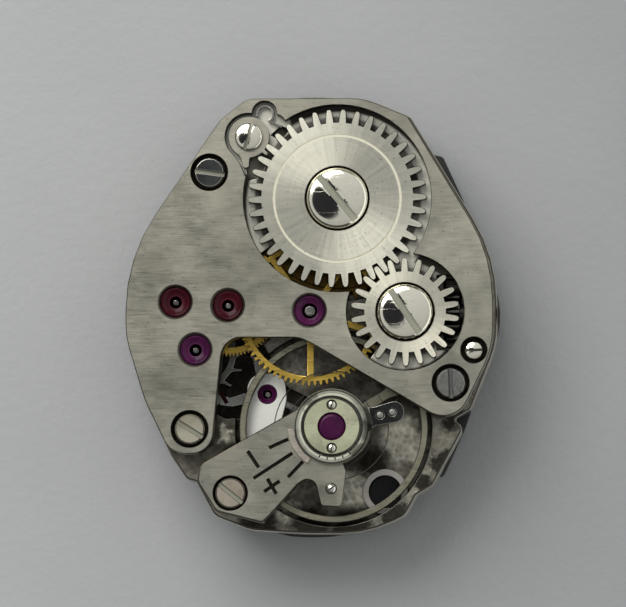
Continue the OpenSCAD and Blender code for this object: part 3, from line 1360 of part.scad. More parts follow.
finger_w = groove_w - 0.1;
module yoke() {
    color(steel) {
        difference() {
            at(yoke_at, lever_z) union() {
                cylinder(r = yoke_head_r, h = lever_t);
                slab([[-0.3, 0], [-0.16, -yoke_arm], [-0.05, -yoke_arm - 1], [0.18, -yoke_arm - 1],
                    [0.16, -yoke_arm], [0.3, 0]], lever_t);
            }
            at(yoke_at, 0) cylinder(r = yoke_post_r + run, h = 1);
        }
        at([yoke_at.x, stem_y], lever_z) translate([-finger_w / 2, -0.22, 0])
            cube([finger_w, 0.44, stem_z - groove_r - 0.06 - lever_z]);
    }
}

module yoke_spring() {
    foot = [yoke_at.x - 0.62, -1.75];
    color(steel) at(foot, lever_z) {
        cylinder(r = 0.2, h = lever_t);
        slab([[-0.04, 0], [0.04, 0], [0.12, 2.6], [0.04, 2.6]], lever_t - 0.04);
    }
}

module setting_wheel() {
    color(steel) at(setting_at, 0) difference() {
        union() {
            translate([0, 0, minute_wheel_z])
                slab(toothed(setting_teeth, motion_module, pinion_form, setting_phase), setting_wheel_h);
            translate([0, 0, hour_wheel_z]) cylinder(r = 0.32, h = minute_wheel_z);
        }
        cylinder(r = motion_post_r + run, h = 2);
    }
}

module minute_wheel() {
    color(brass) at(minute_at, 0) difference() {
        union() {
            translate([0, 0, minute_wheel_z])
                slab(toothed(minute_teeth, motion_module, wheel_form, minute_phase), motion_t);
            translate([0, 0, hour_wheel_z])
                slab(toothed(minute_leaves, motion_module, pinion_form, minute_pinion_phase), minute_wheel_z);
        }
        cylinder(r = motion_post_r + run, h = 2);
    }
}

cannon_bore_r = centre_arbor_r + fit;
module cannon_pinion() {
    color(steel) at(hands_at, -plate_z) difference() {
        union() {
            cylinder(r = cannon_r, h = plate_z + cannon_teeth_z + cannon_teeth_h);
            translate([0, 0, plate_z + cannon_teeth_z])
                slab(toothed(cannon_teeth, motion_module, pinion_form, 0), cannon_teeth_h);
        }
        translate([0, 0, 0.06]) cylinder(r = cannon_bore_r, h = 4);
    }
}

module hour_wheel() {
    pipe_z = -dial_t - hour_reach;
    color(brass) at(hands_at, 0) difference() {
        union() {
            translate([0, 0, pipe_z]) cylinder(r = hour_pipe_r, h = hour_wheel_z - pipe_z + motion_t);
            translate([0, 0, hour_wheel_z])
                slab(toothed(hour_teeth, motion_module, wheel_form, hour_phase), motion_t);
        }
        translate([0, 0, -plate_z]) cylinder(r = cannon_r + run, h = 4);
    }
}

main_plate();
train_bridge();
balance_cock();
pallet_bridge();
dial();
bridge_screws();
blued_bridge_screw();
cock_screw();
pallet_bridge_screws();
setting_lever_screw();
click_screw();
ratchet_screw();
crown_wheel_screw();
crown_wheel_core();
dial_foot_screws();
bridge_jewels();
plate_jewels();
pallet_bridge_jewel();
balance_jewels();
cap_jewels();
cap_plates();
cap_plate_screws();
regulator();
curb_pins();
hairspring_stud();
stud_screw();
hairspring();
collet();
balance_wheel();
balance_staff();
roller();
impulse_jewel();
pallet_fork();
pallet_staff();
pallet_stones();
escape_wheel();
escape_pinion();
fourth_wheel();
fourth_pinion();
third_wheel();
third_pinion();
centre_wheel();
centre_pinion();
barrel_drum();
barrel_cover();
barrel_arbor();
mainspring();
ratchet_wheel();
crown_wheel();
click();
click_spring();
winding_pinion();
sliding_pinion();
setting_lever();
yoke();
yoke_spring();
setting_wheel();
minute_wheel();
cannon_pinion();
hour_wheel();
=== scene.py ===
"""Dresses a hand-wound lever watch movement: satin bridges, turned wheels, polished screws and rubies."""

import json
import logging
import math
from dataclasses import dataclass
from enum import Enum
from functools import reduce
from typing import Callable, Optional, Sequence, Union

import bmesh
import bpy
from mathutils import Matrix, Vector
from mathutils.geometry import convex_hull_2d


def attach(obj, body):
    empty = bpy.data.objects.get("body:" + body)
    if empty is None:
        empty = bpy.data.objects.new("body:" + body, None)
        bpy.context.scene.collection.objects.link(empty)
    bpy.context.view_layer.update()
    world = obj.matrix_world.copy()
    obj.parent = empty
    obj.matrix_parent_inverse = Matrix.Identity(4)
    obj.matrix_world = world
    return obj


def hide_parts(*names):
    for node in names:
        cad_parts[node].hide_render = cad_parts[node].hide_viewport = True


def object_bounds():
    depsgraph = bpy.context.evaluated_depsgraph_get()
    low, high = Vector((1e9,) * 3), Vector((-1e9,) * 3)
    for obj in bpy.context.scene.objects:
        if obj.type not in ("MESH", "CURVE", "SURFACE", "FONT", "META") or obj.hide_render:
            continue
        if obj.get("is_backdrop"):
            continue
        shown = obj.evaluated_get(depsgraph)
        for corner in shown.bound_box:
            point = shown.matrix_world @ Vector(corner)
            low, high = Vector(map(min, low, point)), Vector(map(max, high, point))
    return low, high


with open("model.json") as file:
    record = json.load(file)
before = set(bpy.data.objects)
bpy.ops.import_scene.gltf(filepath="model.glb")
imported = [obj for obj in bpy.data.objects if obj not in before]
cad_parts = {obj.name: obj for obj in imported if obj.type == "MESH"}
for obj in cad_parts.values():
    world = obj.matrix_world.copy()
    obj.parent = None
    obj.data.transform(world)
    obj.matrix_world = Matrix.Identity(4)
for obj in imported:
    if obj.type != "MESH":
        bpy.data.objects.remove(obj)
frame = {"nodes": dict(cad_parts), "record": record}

logging.basicConfig(level=logging.INFO, format="%(message)s")
log = logging.getLogger("movement")

Node, Wire, Piece = bpy.types.Node, bpy.types.NodeSocket, bpy.types.Object
Feed = Union[float, Sequence[float], Wire]
Point = tuple[float, float]
Place = tuple[float, float, float]
Colour = tuple[float, float, float]
Marks = tuple[tuple[float, float, float], ...]
Domes = Sequence[tuple[Vector, float, float]]

MM = 0.001
BODY_OF = {n: b for b, nodes in frame["record"]["behaviour"]["bodies"].items() for n in nodes}
SLOT_OF = {s["node"]: s["material_slot"] for s in frame["record"]["subparts"]}

# Axes, and the height of the bridges' top, in millimetres
BALANCE = (0.788, -4.049)
BARREL = (0.970, 3.921)
CROWN = (3.332, -0.057)
CLICK = (-2.13, 6.1)
ESCAPE = (-3.982, -1.360)
JEWELS_AT = ((0.0, 0.0), (-2.850, 0.189), (-4.680, 0.311), ESCAPE)
DIRTY_SCREW = (4.91, -2.54)
WELLS_AT = ((-4.17, -4.12), DIRTY_SCREW, (-3.5, 4.85))
FACE = 4.3


class Socket(Enum):
    """Kinds of node-group socket."""

    VALUE = "NodeSocketFloat"
    VECTOR = "NodeSocketVector"


class Cut(Enum):
    """Directions in which a surface was brushed or turned."""

    STRAIGHT = "straight"
    ROUND = "round"


class Side(Enum):
    """Sides of a piece, numbered as their finishes are among its materials."""

    FACE = 0
    EDGE = 1
    WALL = 2
    SLOT = 3
    RIM = 4


# ---- node graphs

# The value about which a noise texture's values lie
MIDDLE = 0.5


class Graph:
    """A node tree with short ways to add nodes and links."""

    def __init__(self, tree: bpy.types.NodeTree) -> None:
        """Takes the node tree of a material, a group or the world and empties it."""
        self.tree = tree
        tree.nodes.clear()

    def add(self, kind: str, inputs: Optional[dict] = None, **settings: object) -> Node:
        """Adds a node, sets it, and links or sets its inputs.

        Args:
            kind: the node's type name without its prefix.
            inputs: input name or number to a value or to another node's output.
            settings: the node's own properties.

        Returns:
            The new node.
        """
        node = self.tree.nodes.new("ShaderNode" + kind)
        for key, value in settings.items():
            setattr(node, key, value)
        for key, value in (inputs or {}).items():
            self.feed(node.inputs[key], value)
        return node

    def feed(self, socket: Wire, value: Feed) -> None:
        """Links another node's output to a socket, or sets the socket.

        Args:
            socket: the input.
            value: the output or the value.
        """
        if isinstance(value, Wire):
            self.tree.links.new(value, socket)
        else:
            socket.default_value = value

    def maths(self, operation: str, a: Feed, b: Feed = 0.0) -> Wire:
        """Adds a Math node and returns its output."""
        return self.add("Math", {0: a, 1: b}, operation=operation).outputs[0]

    def times(self, a: Feed, b: Feed) -> Wire:
        """Multiplies two values."""
        return self.maths("MULTIPLY", a, b)

    def plus(self, a: Feed, b: Feed) -> Wire:
        """Adds two values."""
        return self.maths("ADD", a, b)

    def joined(self, operation: str, values: Sequence[Wire]) -> Wire:
        """Joins many values by one operation."""
        return reduce(lambda one, other: self.maths(operation, one, other), values)

    def vector(self, operation: str, a: Feed, b: Feed) -> Wire:
        """Adds a Vector Math node and returns its vector output."""
        return self.add("VectorMath", {0: a, 1: b}, operation=operation).outputs["Vector"]

    def scaled(self, vector: Feed, strength: float) -> Wire:
        """Multiplies a vector or colour by one factor."""
        return self.vector("MULTIPLY", vector, (strength,) * 3)

    def length(self, vector: Feed) -> Wire:
        """The length of a vector."""
        return self.add("VectorMath", {0: vector}, operation="LENGTH").outputs["Value"]

    def along(self, vector: Feed, way: Place) -> Wire:
        """How far a vector reaches along a direction."""
        return self.add("VectorMath", {0: vector, 1: way}, operation="DOT_PRODUCT").outputs["Value"]

    def away(self, spot: Wire, x: float, y: float) -> Wire:
        """The distance from an upright axis at x and y."""
        about = self.vector("SUBTRACT", spot, (x, y, 0.0))
        return self.length(self.vector("MULTIPLY", about, (1.0, 1.0, 0.0)))

    def span(self, value: Feed, low: float, high: float, to_low: float = 0.0, to_high: float = 1.0) -> Wire:
        """Maps a value from low and high to to_low and to_high, clamped, and returns the output."""
        keys = {"Value": value, "From Min": low, "From Max": high, "To Min": to_low, "To Max": to_high}
        return self.add("MapRange", keys).outputs["Result"]

    def mix(self, factor: Feed, a: Feed, b: Feed) -> Wire:
        """Mixes two colours.

        Args:
            factor: the second colour's share.
            a: the first colour.
            b: the second colour.

        Returns:
            The mixed colour.
        """
        node = self.add("Mix", data_type="RGBA")
        self.feed(node.inputs[0], factor)
        for socket, colour in ((node.inputs[6], a), (node.inputs[7], b)):
            self.feed(socket, colour if isinstance(colour, Wire) else (*colour, 1.0))
        return node.outputs[2]

    def noise(self, vector: Feed, scale: float, detail: float = 3.0, rough: float = 0.55) -> Wire:
        """Adds a Noise Texture and returns its value."""
        keys = {"Vector": vector, "Scale": scale, "Detail": detail, "Roughness": rough}
        return self.add("TexNoise", keys).outputs[0]


class Canvas(Graph):
    """A material's graph, with its shader and the place on the object in millimetres."""

    def __init__(self, material: bpy.types.Material, metal: float = 0.0) -> None:
        """Gives a material its shader.

        Args:
            material: the new material.
            metal: how metallic it is.
        """
        material.use_nodes = True
        super().__init__(material.node_tree)
        self.shader = self.add("BsdfPrincipled", {"Metallic": metal})
        self.add("OutputMaterial", {0: self.shader.outputs[0]})
        self.spot = self.scaled(self.add("TexCoord").outputs["Object"], 1 / MM)

    def paint(self, **inputs: Feed) -> None:
        """Feeds or sets the shader's inputs, named with underscores for spaces."""
        for key, value in inputs.items():
            self.feed(self.shader.inputs[key.replace("_", " ")], value)

    def bump(self, height: Wire, depth_mm: float) -> None:
        """Feeds a height from 0 to 1, and as deep as given, to the shader's normal."""
        made = self.add("Bump", {"Height": height, "Distance": depth_mm * MM, "Strength": 1.0})
        self.paint(Normal=made.outputs[0])


@dataclass(frozen=True)
class Effect:
    """A surface effect that many finishes share, kept as one node group."""

    name: str
    inputs: tuple[tuple[str, Socket, object], ...]
    outputs: tuple[str, ...]
    draw: Callable[[Graph, Node], dict]

    def group(self) -> bpy.types.NodeTree:
        """Builds the group at its first use.

        Returns:
            The group's tree.
        """
        found = bpy.data.node_groups.get(self.name)
        if found:
            return found
        tree = bpy.data.node_groups.new(self.name, "ShaderNodeTree")
        for name, kind, value in self.inputs:
            socket = tree.interface.new_socket(name, in_out="INPUT", socket_type=kind.value)
            socket.default_value = value
        for name in self.outputs:
            tree.interface.new_socket(name, in_out="OUTPUT", socket_type=Socket.VALUE.value)
        graph = Graph(tree)
        start = tree.nodes.new("NodeGroupInput")
        end = tree.nodes.new("NodeGroupOutput")
        for name, socket in self.draw(graph, start).items():
            graph.feed(end.inputs[name], socket)
        return tree

    def use(self, graph: Graph, **values: Feed) -> dict[str, Wire]:
        """Places the group in a material.

        Args:
            graph: the material's graph.
            values: the group's inputs.

        Returns:
            Its outputs by name.
        """
        node = graph.tree.nodes.new("ShaderNodeGroup")
        node.node_tree = self.group()
        for key, value in values.items():
            graph.feed(node.inputs[key], value)
        return {name: node.outputs[name] for name in self.outputs}


def draw_straight_grain(graph: Graph, start: Node) -> dict[str, Wire]:
    """Draws long fine brush lines along the X axis.

    Args:
        graph: the group's graph.
        start: the group's inputs.

    Returns:
        The grain.
    """
    drawn = []
    for stretch, rough, share in (((1.1, 26.0, 3.0), 0.7, 0.62), ((1.6, 2.6, 2.0), 0.65, 0.38)):
        spot = graph.vector("MULTIPLY", start.outputs["Vector"], stretch)
        drawn.append(graph.times(graph.noise(spot, scale=1.0, detail=4.0, rough=rough), share))
    return {"Grain": graph.span(graph.joined("ADD", drawn), low=0.34, high=0.66)}


def draw_round_grain(graph: Graph, start: Node) -> dict[str, Wire]:
    """Draws radial streaks and turned circles about the vector's origin.

    Args:
        graph: the group's graph.
        start: the group's inputs.

    Returns:
        The streaks and the circles.
    """
    flat = graph.vector("MULTIPLY", start.outputs["Vector"], (1.0, 1.0, 0.0))
    radius = graph.length(flat)
    way = graph.add("VectorMath", {0: flat}, operation="NORMALIZE").outputs["Vector"]
    drawn = {}
    for name, around, outward, detail in (("Rays", 16.0, 0.6, 3.0), ("Rings", 0.8, 26.0, 2.0)):
        height = graph.add("CombineXYZ", {"Z": graph.times(radius, outward)}).outputs[0]
        spread = graph.vector("MULTIPLY", way, (around, around, 0.0))
        streaks = graph.noise(graph.vector("ADD", spread, height), scale=1.0, detail=detail, rough=0.6)
        drawn[name] = graph.span(streaks, low=0.3, high=0.7)
    return drawn


def draw_tarnish(graph: Graph, start: Node) -> dict[str, Wire]:
    """Draws soft clouds of discolouring, and small dark specks.

    Args:
        graph: the group's graph.
        start: the group's inputs.

    Returns:
        The clouds and the specks.
    """
    clouds = graph.noise(start.outputs["Vector"], scale=0.45, detail=4.0, rough=0.6)
    specks = graph.noise(start.outputs["Vector"], scale=9.0, detail=2.0, rough=0.5)
    return {"Clouds": graph.span(clouds, low=0.35, high=0.68),
            "Specks": graph.span(specks, low=0.66, high=0.74)}


def draw_scratches(graph: Graph, start: Node) -> dict[str, Wire]:
    """Draws sparse hairline scratches in two directions.

    Args:
        graph: the group's graph.
        start: the group's inputs.

    Returns:
        The scratches.
    """
    made = []
    for angle, offset in ((0.5, 0.0), (-0.9, 7.0)):
        turned = graph.add("Mapping", {"Vector": start.outputs["Vector"], "Location": (offset, 0, 0),
                                       "Rotation": (0, 0, angle), "Scale": (0.55, 9.0, 1.0)}).outputs[0]
        waves = graph.noise(turned, scale=1.0, detail=1.0, rough=0.4)
        line = graph.maths("ABSOLUTE", graph.maths("SUBTRACT", waves, MIDDLE))
        gate = graph.noise(graph.vector("MULTIPLY", turned, (0.9, 0.08, 1.0)), scale=1.3, detail=0.0)
        made.append(graph.times(graph.span(line, low=0.012, high=0.0), graph.span(gate, low=0.58, high=0.66)))
    return {"Scratches": graph.joined("MAXIMUM", made)}


def draw_pitting(graph: Graph, start: Node) -> dict[str, Wire]:
    """Draws the speckle of a milled and grained floor.

    Args:
        graph: the group's graph.
        start: the group's inputs.

    Returns:
        The pits.
    """
    spots = {"Vector": start.outputs["Vector"], "Scale": 5.0}
    cells = graph.add("TexVoronoi", spots, feature="F1").outputs["Distance"]
    clouds = graph.noise(start.outputs["Vector"], scale=3.2, detail=4.0, rough=0.65)
    both = graph.plus(graph.times(cells, 0.5), graph.times(clouds, 0.8))
    return {"Pits": graph.span(both, low=0.4, high=0.95)}


def draw_oil_and_shade(graph: Graph, start: Node) -> dict[str, Wire]:
    """Draws old oil and dust together with painted shade, darkest where little of the sky is seen.

    Args:
        graph: the group's graph.
        start: the group's inputs.

    Returns:
        The oil and painted shade.
    """
    # Painted shade where ambient occlusion finds the crevice shut, in patches with old oil and dust
    shut = graph.span(start.outputs["Openness"], low=0.62, high=0.28)
    patches = graph.noise(start.outputs["Vector"], scale=3.0, detail=3.0, rough=0.6)
    patchy = graph.span(patches, low=0.3, high=0.6, to_low=0.75)
    return {"OilAndShade": graph.times(graph.times(shut, patchy), start.outputs["Amount"])}


PLACE = (("Vector", Socket.VECTOR, (0.0, 0.0, 0.0)),)
STRAIGHT_GRAIN = Effect("straight_grain", PLACE, ("Grain",), draw_straight_grain)
ROUND_GRAIN = Effect("round_grain", PLACE, ("Rays", "Rings"), draw_round_grain)
TARNISH = Effect("tarnish", PLACE, ("Clouds", "Specks"), draw_tarnish)
SCRATCHES = Effect("hairline_scratches", PLACE, ("Scratches",), draw_scratches)
PITTING = Effect("milled_pitting", PLACE, ("Pits",), draw_pitting)
# Old oil and dust with painted shade in the crevices
OIL_AND_SHADE = Effect("oil_and_painted_shade", (*PLACE, ("Openness", Socket.VALUE, 1.0), ("Amount", Socket.VALUE, 0.8)),
                 ("OilAndShade",), draw_oil_and_shade)


# ---- finishes


@dataclass(frozen=True)
class Finish:
    """What every finish has: a name, a colour and a sheen."""

    name: str
    colour: Colour
    rough: float = 0.3
    metal: float = 1.0
    # Old oil and dust with painted shade, found by ambient occlusion: amount, reach, tone and roughness
    grime_and_shade: float = 0.85
    grime_and_shade_reach: float = 0.35
    grime_and_shade_tone: Colour = (0.016, 0.014, 0.011)
    grime_rough: float = 0.3
    ragged_mm: float = 1.1
    core_share: float = 0.55

    def material(self) -> bpy.types.Material:
        """Builds the material at its first use.

        Returns:
            The material.
        """
        name = self.name + "_finish"
        found = bpy.data.materials.get(name)
        if found:
            return found
        made = bpy.data.materials.new(name)
        made.diffuse_color = (*self.colour, 1.0)
        self.draw(Canvas(made, self.metal))
        return made

    def tone(self, strength: float) -> Colour:
        """The colour darkened or lightened by a factor."""
        return tuple(min(1.0, c * strength) for c in self.colour)

    def soiled_and_shaded(self, canvas: Canvas, base: Wire, rough: Wire) -> None:
        """Feeds colour and roughness to the shader, with old oil, dust and painted shade darkening the
        crevices.

        Args:
            canvas: the material's graph.
            base: the clean colour.
            rough: the clean roughness.
        """
        # Painted shade with old oil and dust, darker where ambient occlusion sees little open sky
        sky = canvas.add("AmbientOcclusion", {"Distance": self.grime_and_shade_reach * MM}, samples=8, only_local=True)
        oil_shade_mask = OIL_AND_SHADE.use(canvas, Vector=canvas.spot, Openness=sky.outputs["AO"], Amount=self.grime_and_shade)["OilAndShade"]
        canvas.paint(Base_Color=canvas.mix(oil_shade_mask, base, self.grime_and_shade_tone),
                     Roughness=canvas.plus(rough, canvas.times(oil_shade_mask, self.grime_rough)))

    def places(self, canvas: Canvas, marks: Marks) -> Wire:
        """Masks ragged round places.

        Args:
            canvas: the material's graph.
            marks: each place's centre and radius.

        Returns:
            The mask.
        """
        patches = canvas.noise(canvas.spot, scale=2.2, detail=4.0, rough=0.65)
        ragged = canvas.times(canvas.maths("SUBTRACT", patches, MIDDLE), self.ragged_mm)
        return canvas.joined("MAXIMUM", [
            canvas.span(canvas.plus(canvas.away(canvas.spot, x, y), ragged), reach, self.core_share * reach)
            for x, y, reach in marks])

    def draw(self, canvas: Canvas) -> None:
        """Draws the finish into the material; each kind has its own way."""
        raise NotImplementedError


@dataclass(frozen=True)
class Brushed(Finish):
    """Metal brushed in one direction, or turned about a centre, with tarnish, hairlines, and places of
    painted shade and painted reflection.
    """

    cut: Cut = Cut.STRAIGHT
    centre: Place = (0.0, 0.0, 0.0)
    contrast: float = 0.12
    tarnish: Colour = (0.45, 0.40, 0.30)
    tarnish_share: float = 0.18
    speck_share: float = 0.5
    speck_tone: float = 0.35
    scratch_share: float = 0.5
    scratch_tone: float = 1.5
    depth_mm: float = 0.0009
    glow: float = 0.0
    glow_turn: float = 0.25
    rays_share: float = 0.6
    grain_rough: float = 0.14
    cloud_rough: float = 0.08
    # Places of painted shade, and places of painted reflection, with their tones
    shaded_patches: Marks = ()
    shaded_tone: float = 0.80
    bright: Marks = ()
    bright_tone: float = 1.18

    def grain(self, canvas: Canvas) -> Wire:
        """Draws the brush lines or the turned circles.

        Args:
            canvas: the material's graph.

        Returns:
            The grain.
        """
        about = canvas.vector("SUBTRACT", canvas.spot, self.centre)
        if self.cut is Cut.STRAIGHT:
            return STRAIGHT_GRAIN.use(canvas, Vector=about)["Grain"]
        canvas.paint(Anisotropic=self.glow, Anisotropic_Rotation=self.glow_turn)
        if self.glow:
            canvas.paint(Tangent=canvas.add("Tangent", direction_type="RADIAL", axis="Z").outputs[0])
        parts = ROUND_GRAIN.use(canvas, Vector=about)
        rays = canvas.times(parts["Rays"], self.rays_share)
        return canvas.plus(rays, canvas.times(parts["Rings"], 1 - self.rays_share))

    def draw(self, canvas: Canvas) -> None:
        """Draws brushed metal.

        Args:
            canvas: the material's graph.
        """
        grain = self.grain(canvas)
        cloud = TARNISH.use(canvas, Vector=canvas.spot)
        lines = SCRATCHES.use(canvas, Vector=canvas.spot)["Scratches"]
        base = canvas.mix(grain, self.tone(1 - self.contrast), self.tone(1 + self.contrast))
        base = canvas.mix(canvas.times(cloud["Clouds"], self.tarnish_share), base, self.tarnish)
        base = canvas.mix(canvas.times(cloud["Specks"], self.speck_share), base, self.tone(self.speck_tone))
        base = canvas.mix(canvas.times(lines, self.scratch_share), base, self.tone(self.scratch_tone))
        # Places of painted shade and of painted reflection
        for marks, strength in ((self.shaded_patches, self.shaded_tone), (self.bright, self.bright_tone)):
            if marks:
                base = canvas.mix(self.places(canvas, marks), base, canvas.scaled(base, strength))
        rough = canvas.plus(canvas.times(grain, self.grain_rough), self.rough - self.grain_rough / 2)
        rough = canvas.plus(rough, canvas.times(cloud["Clouds"], self.cloud_rough))
        self.soiled_and_shaded(canvas, base, rough)
        canvas.bump(grain, self.depth_mm)


@dataclass(frozen=True)
class Polished(Finish):
    """Mirror-polished metal with faint smears."""

    smear: float = 0.10
    tint: Colour = (0.6, 0.55, 0.4)
    speck_share: float = 0.4
    speck_tone: float = 0.4
    line_rough: float = 0.15
    line_mm: float = -0.0006

    def draw(self, canvas: Canvas) -> None:
        """Draws polished metal.

        Args:
            canvas: the material's graph.
        """
        cloud = TARNISH.use(canvas, Vector=canvas.spot)
        lines = SCRATCHES.use(canvas, Vector=canvas.spot)["Scratches"]
        smeared = canvas.times(cloud["Clouds"], self.smear)
        base = canvas.mix(smeared, self.colour, self.tint)
        base = canvas.mix(canvas.times(cloud["Specks"], self.speck_share), base, self.tone(self.speck_tone))
        rough = canvas.plus(canvas.plus(smeared, self.rough), canvas.times(lines, self.line_rough))
        self.soiled_and_shaded(canvas, base, rough)
        canvas.bump(lines, self.line_mm)


@dataclass(frozen=True)
class Recess(Polished):
    """The milled bed of wheels, darkened under them by painted shade mixed with oil, and along its walls by a
    painted cast shadow.
    """

    wheels: Marks = ()
    walls: Marks = ()
    # The tone of the painted shade under the wheels and of the painted cast shadow along the walls
    under: Colour = (0.05, 0.045, 0.035)
    hem_mm: float = 0.08

    def soiled_and_shaded(self, canvas: Canvas, base: Wire, rough: Wire) -> None:
        """Paints shade under the wheels and a cast shadow along the walls, and then soils the bed as any
        finish.

        Args:
            canvas: the material's graph.
            base: the clean colour.
            rough: the clean roughness.
        """
        # Painted shade under the wheels, in patches, and a painted cast shadow outside every wall's circle
        beds = [canvas.span(canvas.away(canvas.spot, x, y), reach, reach - self.hem_mm)
                for x, y, reach in self.wheels]
        edges = [canvas.span(canvas.away(canvas.spot, x, y), reach, reach + self.hem_mm)
                 for x, y, reach in self.walls]
        patches = canvas.noise(canvas.spot, scale=1.6, detail=3.0, rough=0.6)
        patchy = canvas.span(patches, low=0.35, high=0.62, to_low=0.6)
        bed = canvas.times(canvas.joined("MAXIMUM", beds), patchy)
        shade = canvas.maths("MAXIMUM", bed, canvas.joined("MINIMUM", edges))
        super().soiled_and_shaded(canvas, canvas.mix(shade, base, self.under), rough)


@dataclass(frozen=True)
class PaintedBands(Polished):
    """Polished metal toned in rings round a centre: a bright ring of painted highlight, darker rings of
    painted shade, and places of painted shadow.
    """

    centre: Point = (0.0, 0.0)
    # Rings of painted highlight and painted shade, each from radius to radius with its tone, and places of
    # painted shadow
    steps: Marks = ()
    shaded_patches: Marks = ()
    shaded_tone: float = 0.35
    hem_mm: float = 0.008

    def soiled_and_shaded(self, canvas: Canvas, base: Wire, rough: Wire) -> None:
        """Paints the rings of highlight and shade, each from radius to radius, and the places of shadow, and
        then soils the ring as any finish.

        Args:
            canvas: the material's graph.
            base: the clean colour.
            rough: the clean roughness.
        """
        far = canvas.away(canvas.spot, *self.centre)
        # Rings of painted highlight and painted shade
        for low, high, strength in self.steps:
            inside = canvas.times(canvas.span(far, low - self.hem_mm, low + self.hem_mm),
                                  canvas.span(far, high + self.hem_mm, high - self.hem_mm))
            base = canvas.mix(inside, base, canvas.scaled(base, strength))
        # Places of painted shadow
        base = canvas.mix(self.places(canvas, self.shaded_patches), base, canvas.scaled(base, self.shaded_tone))
        super().soiled_and_shaded(canvas, base, rough)


@dataclass(frozen=True)
class Grained(Finish):
    """A rough milled surface with a speckle and dirt, painted shade in its low places, and places of painted
    highlight and of painted shadow.
    """

    dirt: Colour = (0.035, 0.030, 0.020)
    dirt_share: float = 0.9
    depth_mm: float = 0.01
    # Painted shade: the surface darkens below one height and is unshaded above another
    dark_below: float = 2.15
    unshaded_above: float = 2.65
    deep_share: float = 0.12
    pit_tone: float = 0.6
    top_tone: float = 1.25
    fleck_tone: float = 1.9
    pit_rough: float = 0.12
    top_rough: float = -0.08
    # Places of painted highlight, and places of painted shadow, with their tone and share
    worn_and_highlit: Marks = ()
    highlight_tone: float = 2.5
    place_share: float = 0.9
    painted_shadows: Marks = ()

    def draw(self, canvas: Canvas) -> None:
        """Draws grained metal.

        Args:
            canvas: the material's graph.
        """
        pits = PITTING.use(canvas, Vector=canvas.spot)["Pits"]
        cloud = TARNISH.use(canvas, Vector=canvas.spot)
        base = canvas.mix(pits, self.tone(self.pit_tone), self.tone(self.top_tone))
        base = canvas.mix(cloud["Specks"], base, self.tone(self.fleck_tone))
        base = canvas.mix(canvas.times(cloud["Clouds"], self.dirt_share), base, self.dirt)
        # Painted shade, darker the lower the surface lies
        height = canvas.add("SeparateXYZ", {0: canvas.spot}).outputs[2]
        depth = canvas.span(height, self.dark_below, self.unshaded_above, 1 - self.deep_share, 0.0)
        base = canvas.mix(depth, base, self.grime_and_shade_tone)
        # Painted highlights in their places, and then painted shadows in theirs
        if self.worn_and_highlit:
            shine = canvas.mix(pits, self.tone(1.0), self.tone(self.highlight_tone))
            worn_and_highlit = canvas.times(self.places(canvas, self.worn_and_highlit), self.place_share)
            base = canvas.mix(worn_and_highlit, base, shine)
        if self.painted_shadows:
            painted_shadows = canvas.times(self.places(canvas, self.painted_shadows), self.place_share)
            base = canvas.mix(painted_shadows, base, self.grime_and_shade_tone)
        rough = canvas.span(pits, 0.0, 1.0, self.rough + self.pit_rough, self.rough + self.top_rough)
        self.soiled_and_shaded(canvas, base, rough)
        canvas.bump(pits, self.depth_mm)


@dataclass(frozen=True)
class Stone(Finish):
    """Polished synthetic ruby with a deep, uneven colour and a painted sheen on its glancing faces."""

    deep: Colour = (0.05, 0.002, 0.02)
    cloud_scale: float = 2.5
    cloud_rough: float = 0.08
    sheen_tone: float = 1.5
    sheen_blend: float = 0.3
    index: float = 1.76
    specular: float = 0.10

    def draw(self, canvas: Canvas) -> None:
        """Draws ruby.

        Args:
            canvas: the material's graph.
        """
        cloud = TARNISH.use(canvas, Vector=canvas.scaled(canvas.spot, self.cloud_scale))["Clouds"]
        # A painted sheen: lighter where a face is seen at a glancing angle
        edge = canvas.add("LayerWeight", {"Blend": self.sheen_blend}).outputs["Facing"]
        inner = canvas.mix(cloud, self.deep, self.colour)
        canvas.paint(Base_Color=canvas.mix(edge, inner, self.tone(self.sheen_tone)),
                     Roughness=canvas.span(cloud, 0.0, 1.0, self.rough, self.rough + self.cloud_rough),
                     IOR=self.index, Specular_IOR_Level=self.specular)


@dataclass(frozen=True)
class Lacquer(Finish):
    """Dark lacquer with dust and rubbed patches."""

    worn_and_highlit: Colour = (0.12, 0.11, 0.10)
    cloud_share: float = 0.25
    worn_rough: float = 0.3
    depth_mm: float = 0.004

    def draw(self, canvas: Canvas) -> None:
        """Draws lacquer.

        Args:
            canvas: the material's graph.
        """
        cloud = TARNISH.use(canvas, Vector=canvas.spot)
        worn = canvas.maths("MAXIMUM", cloud["Specks"], canvas.times(cloud["Clouds"], self.cloud_share))
        canvas.paint(Base_Color=canvas.mix(worn, self.colour, self.worn_and_highlit),
                     Roughness=canvas.span(worn, 0.0, 1.0, self.rough, self.rough + self.worn_rough))
        canvas.bump(cloud["Clouds"], self.depth_mm)


# The bridge and the cock: their darker places are painted shade and their brighter places painted reflection
SATIN_BRIDGE = Brushed(
    "satin_bridge", (0.45, 0.435, 0.355), 0.34, contrast=0.07, tarnish_share=0.08,
    shaded_patches=((-2.0, 1.3, 1.7), (3.0, 7.1, 1.3), (-4.4, -2.4, 1.4), (4.6, -1.9, 0.8), (-5.4, 1.6, 0.9)),
    bright=((5.5, 2.1, 1.6), (-3.7, 6.0, 1.5), (1.1, -0.6, 1.2)))
SATIN_COCK = Brushed("satin_cock", (0.385, 0.375, 0.31), 0.36, contrast=0.07, tarnish_share=0.2,
                     bright=((-2.4, -7.0, 0.9),), shaded_patches=((0.5, -6.5, 0.5),))
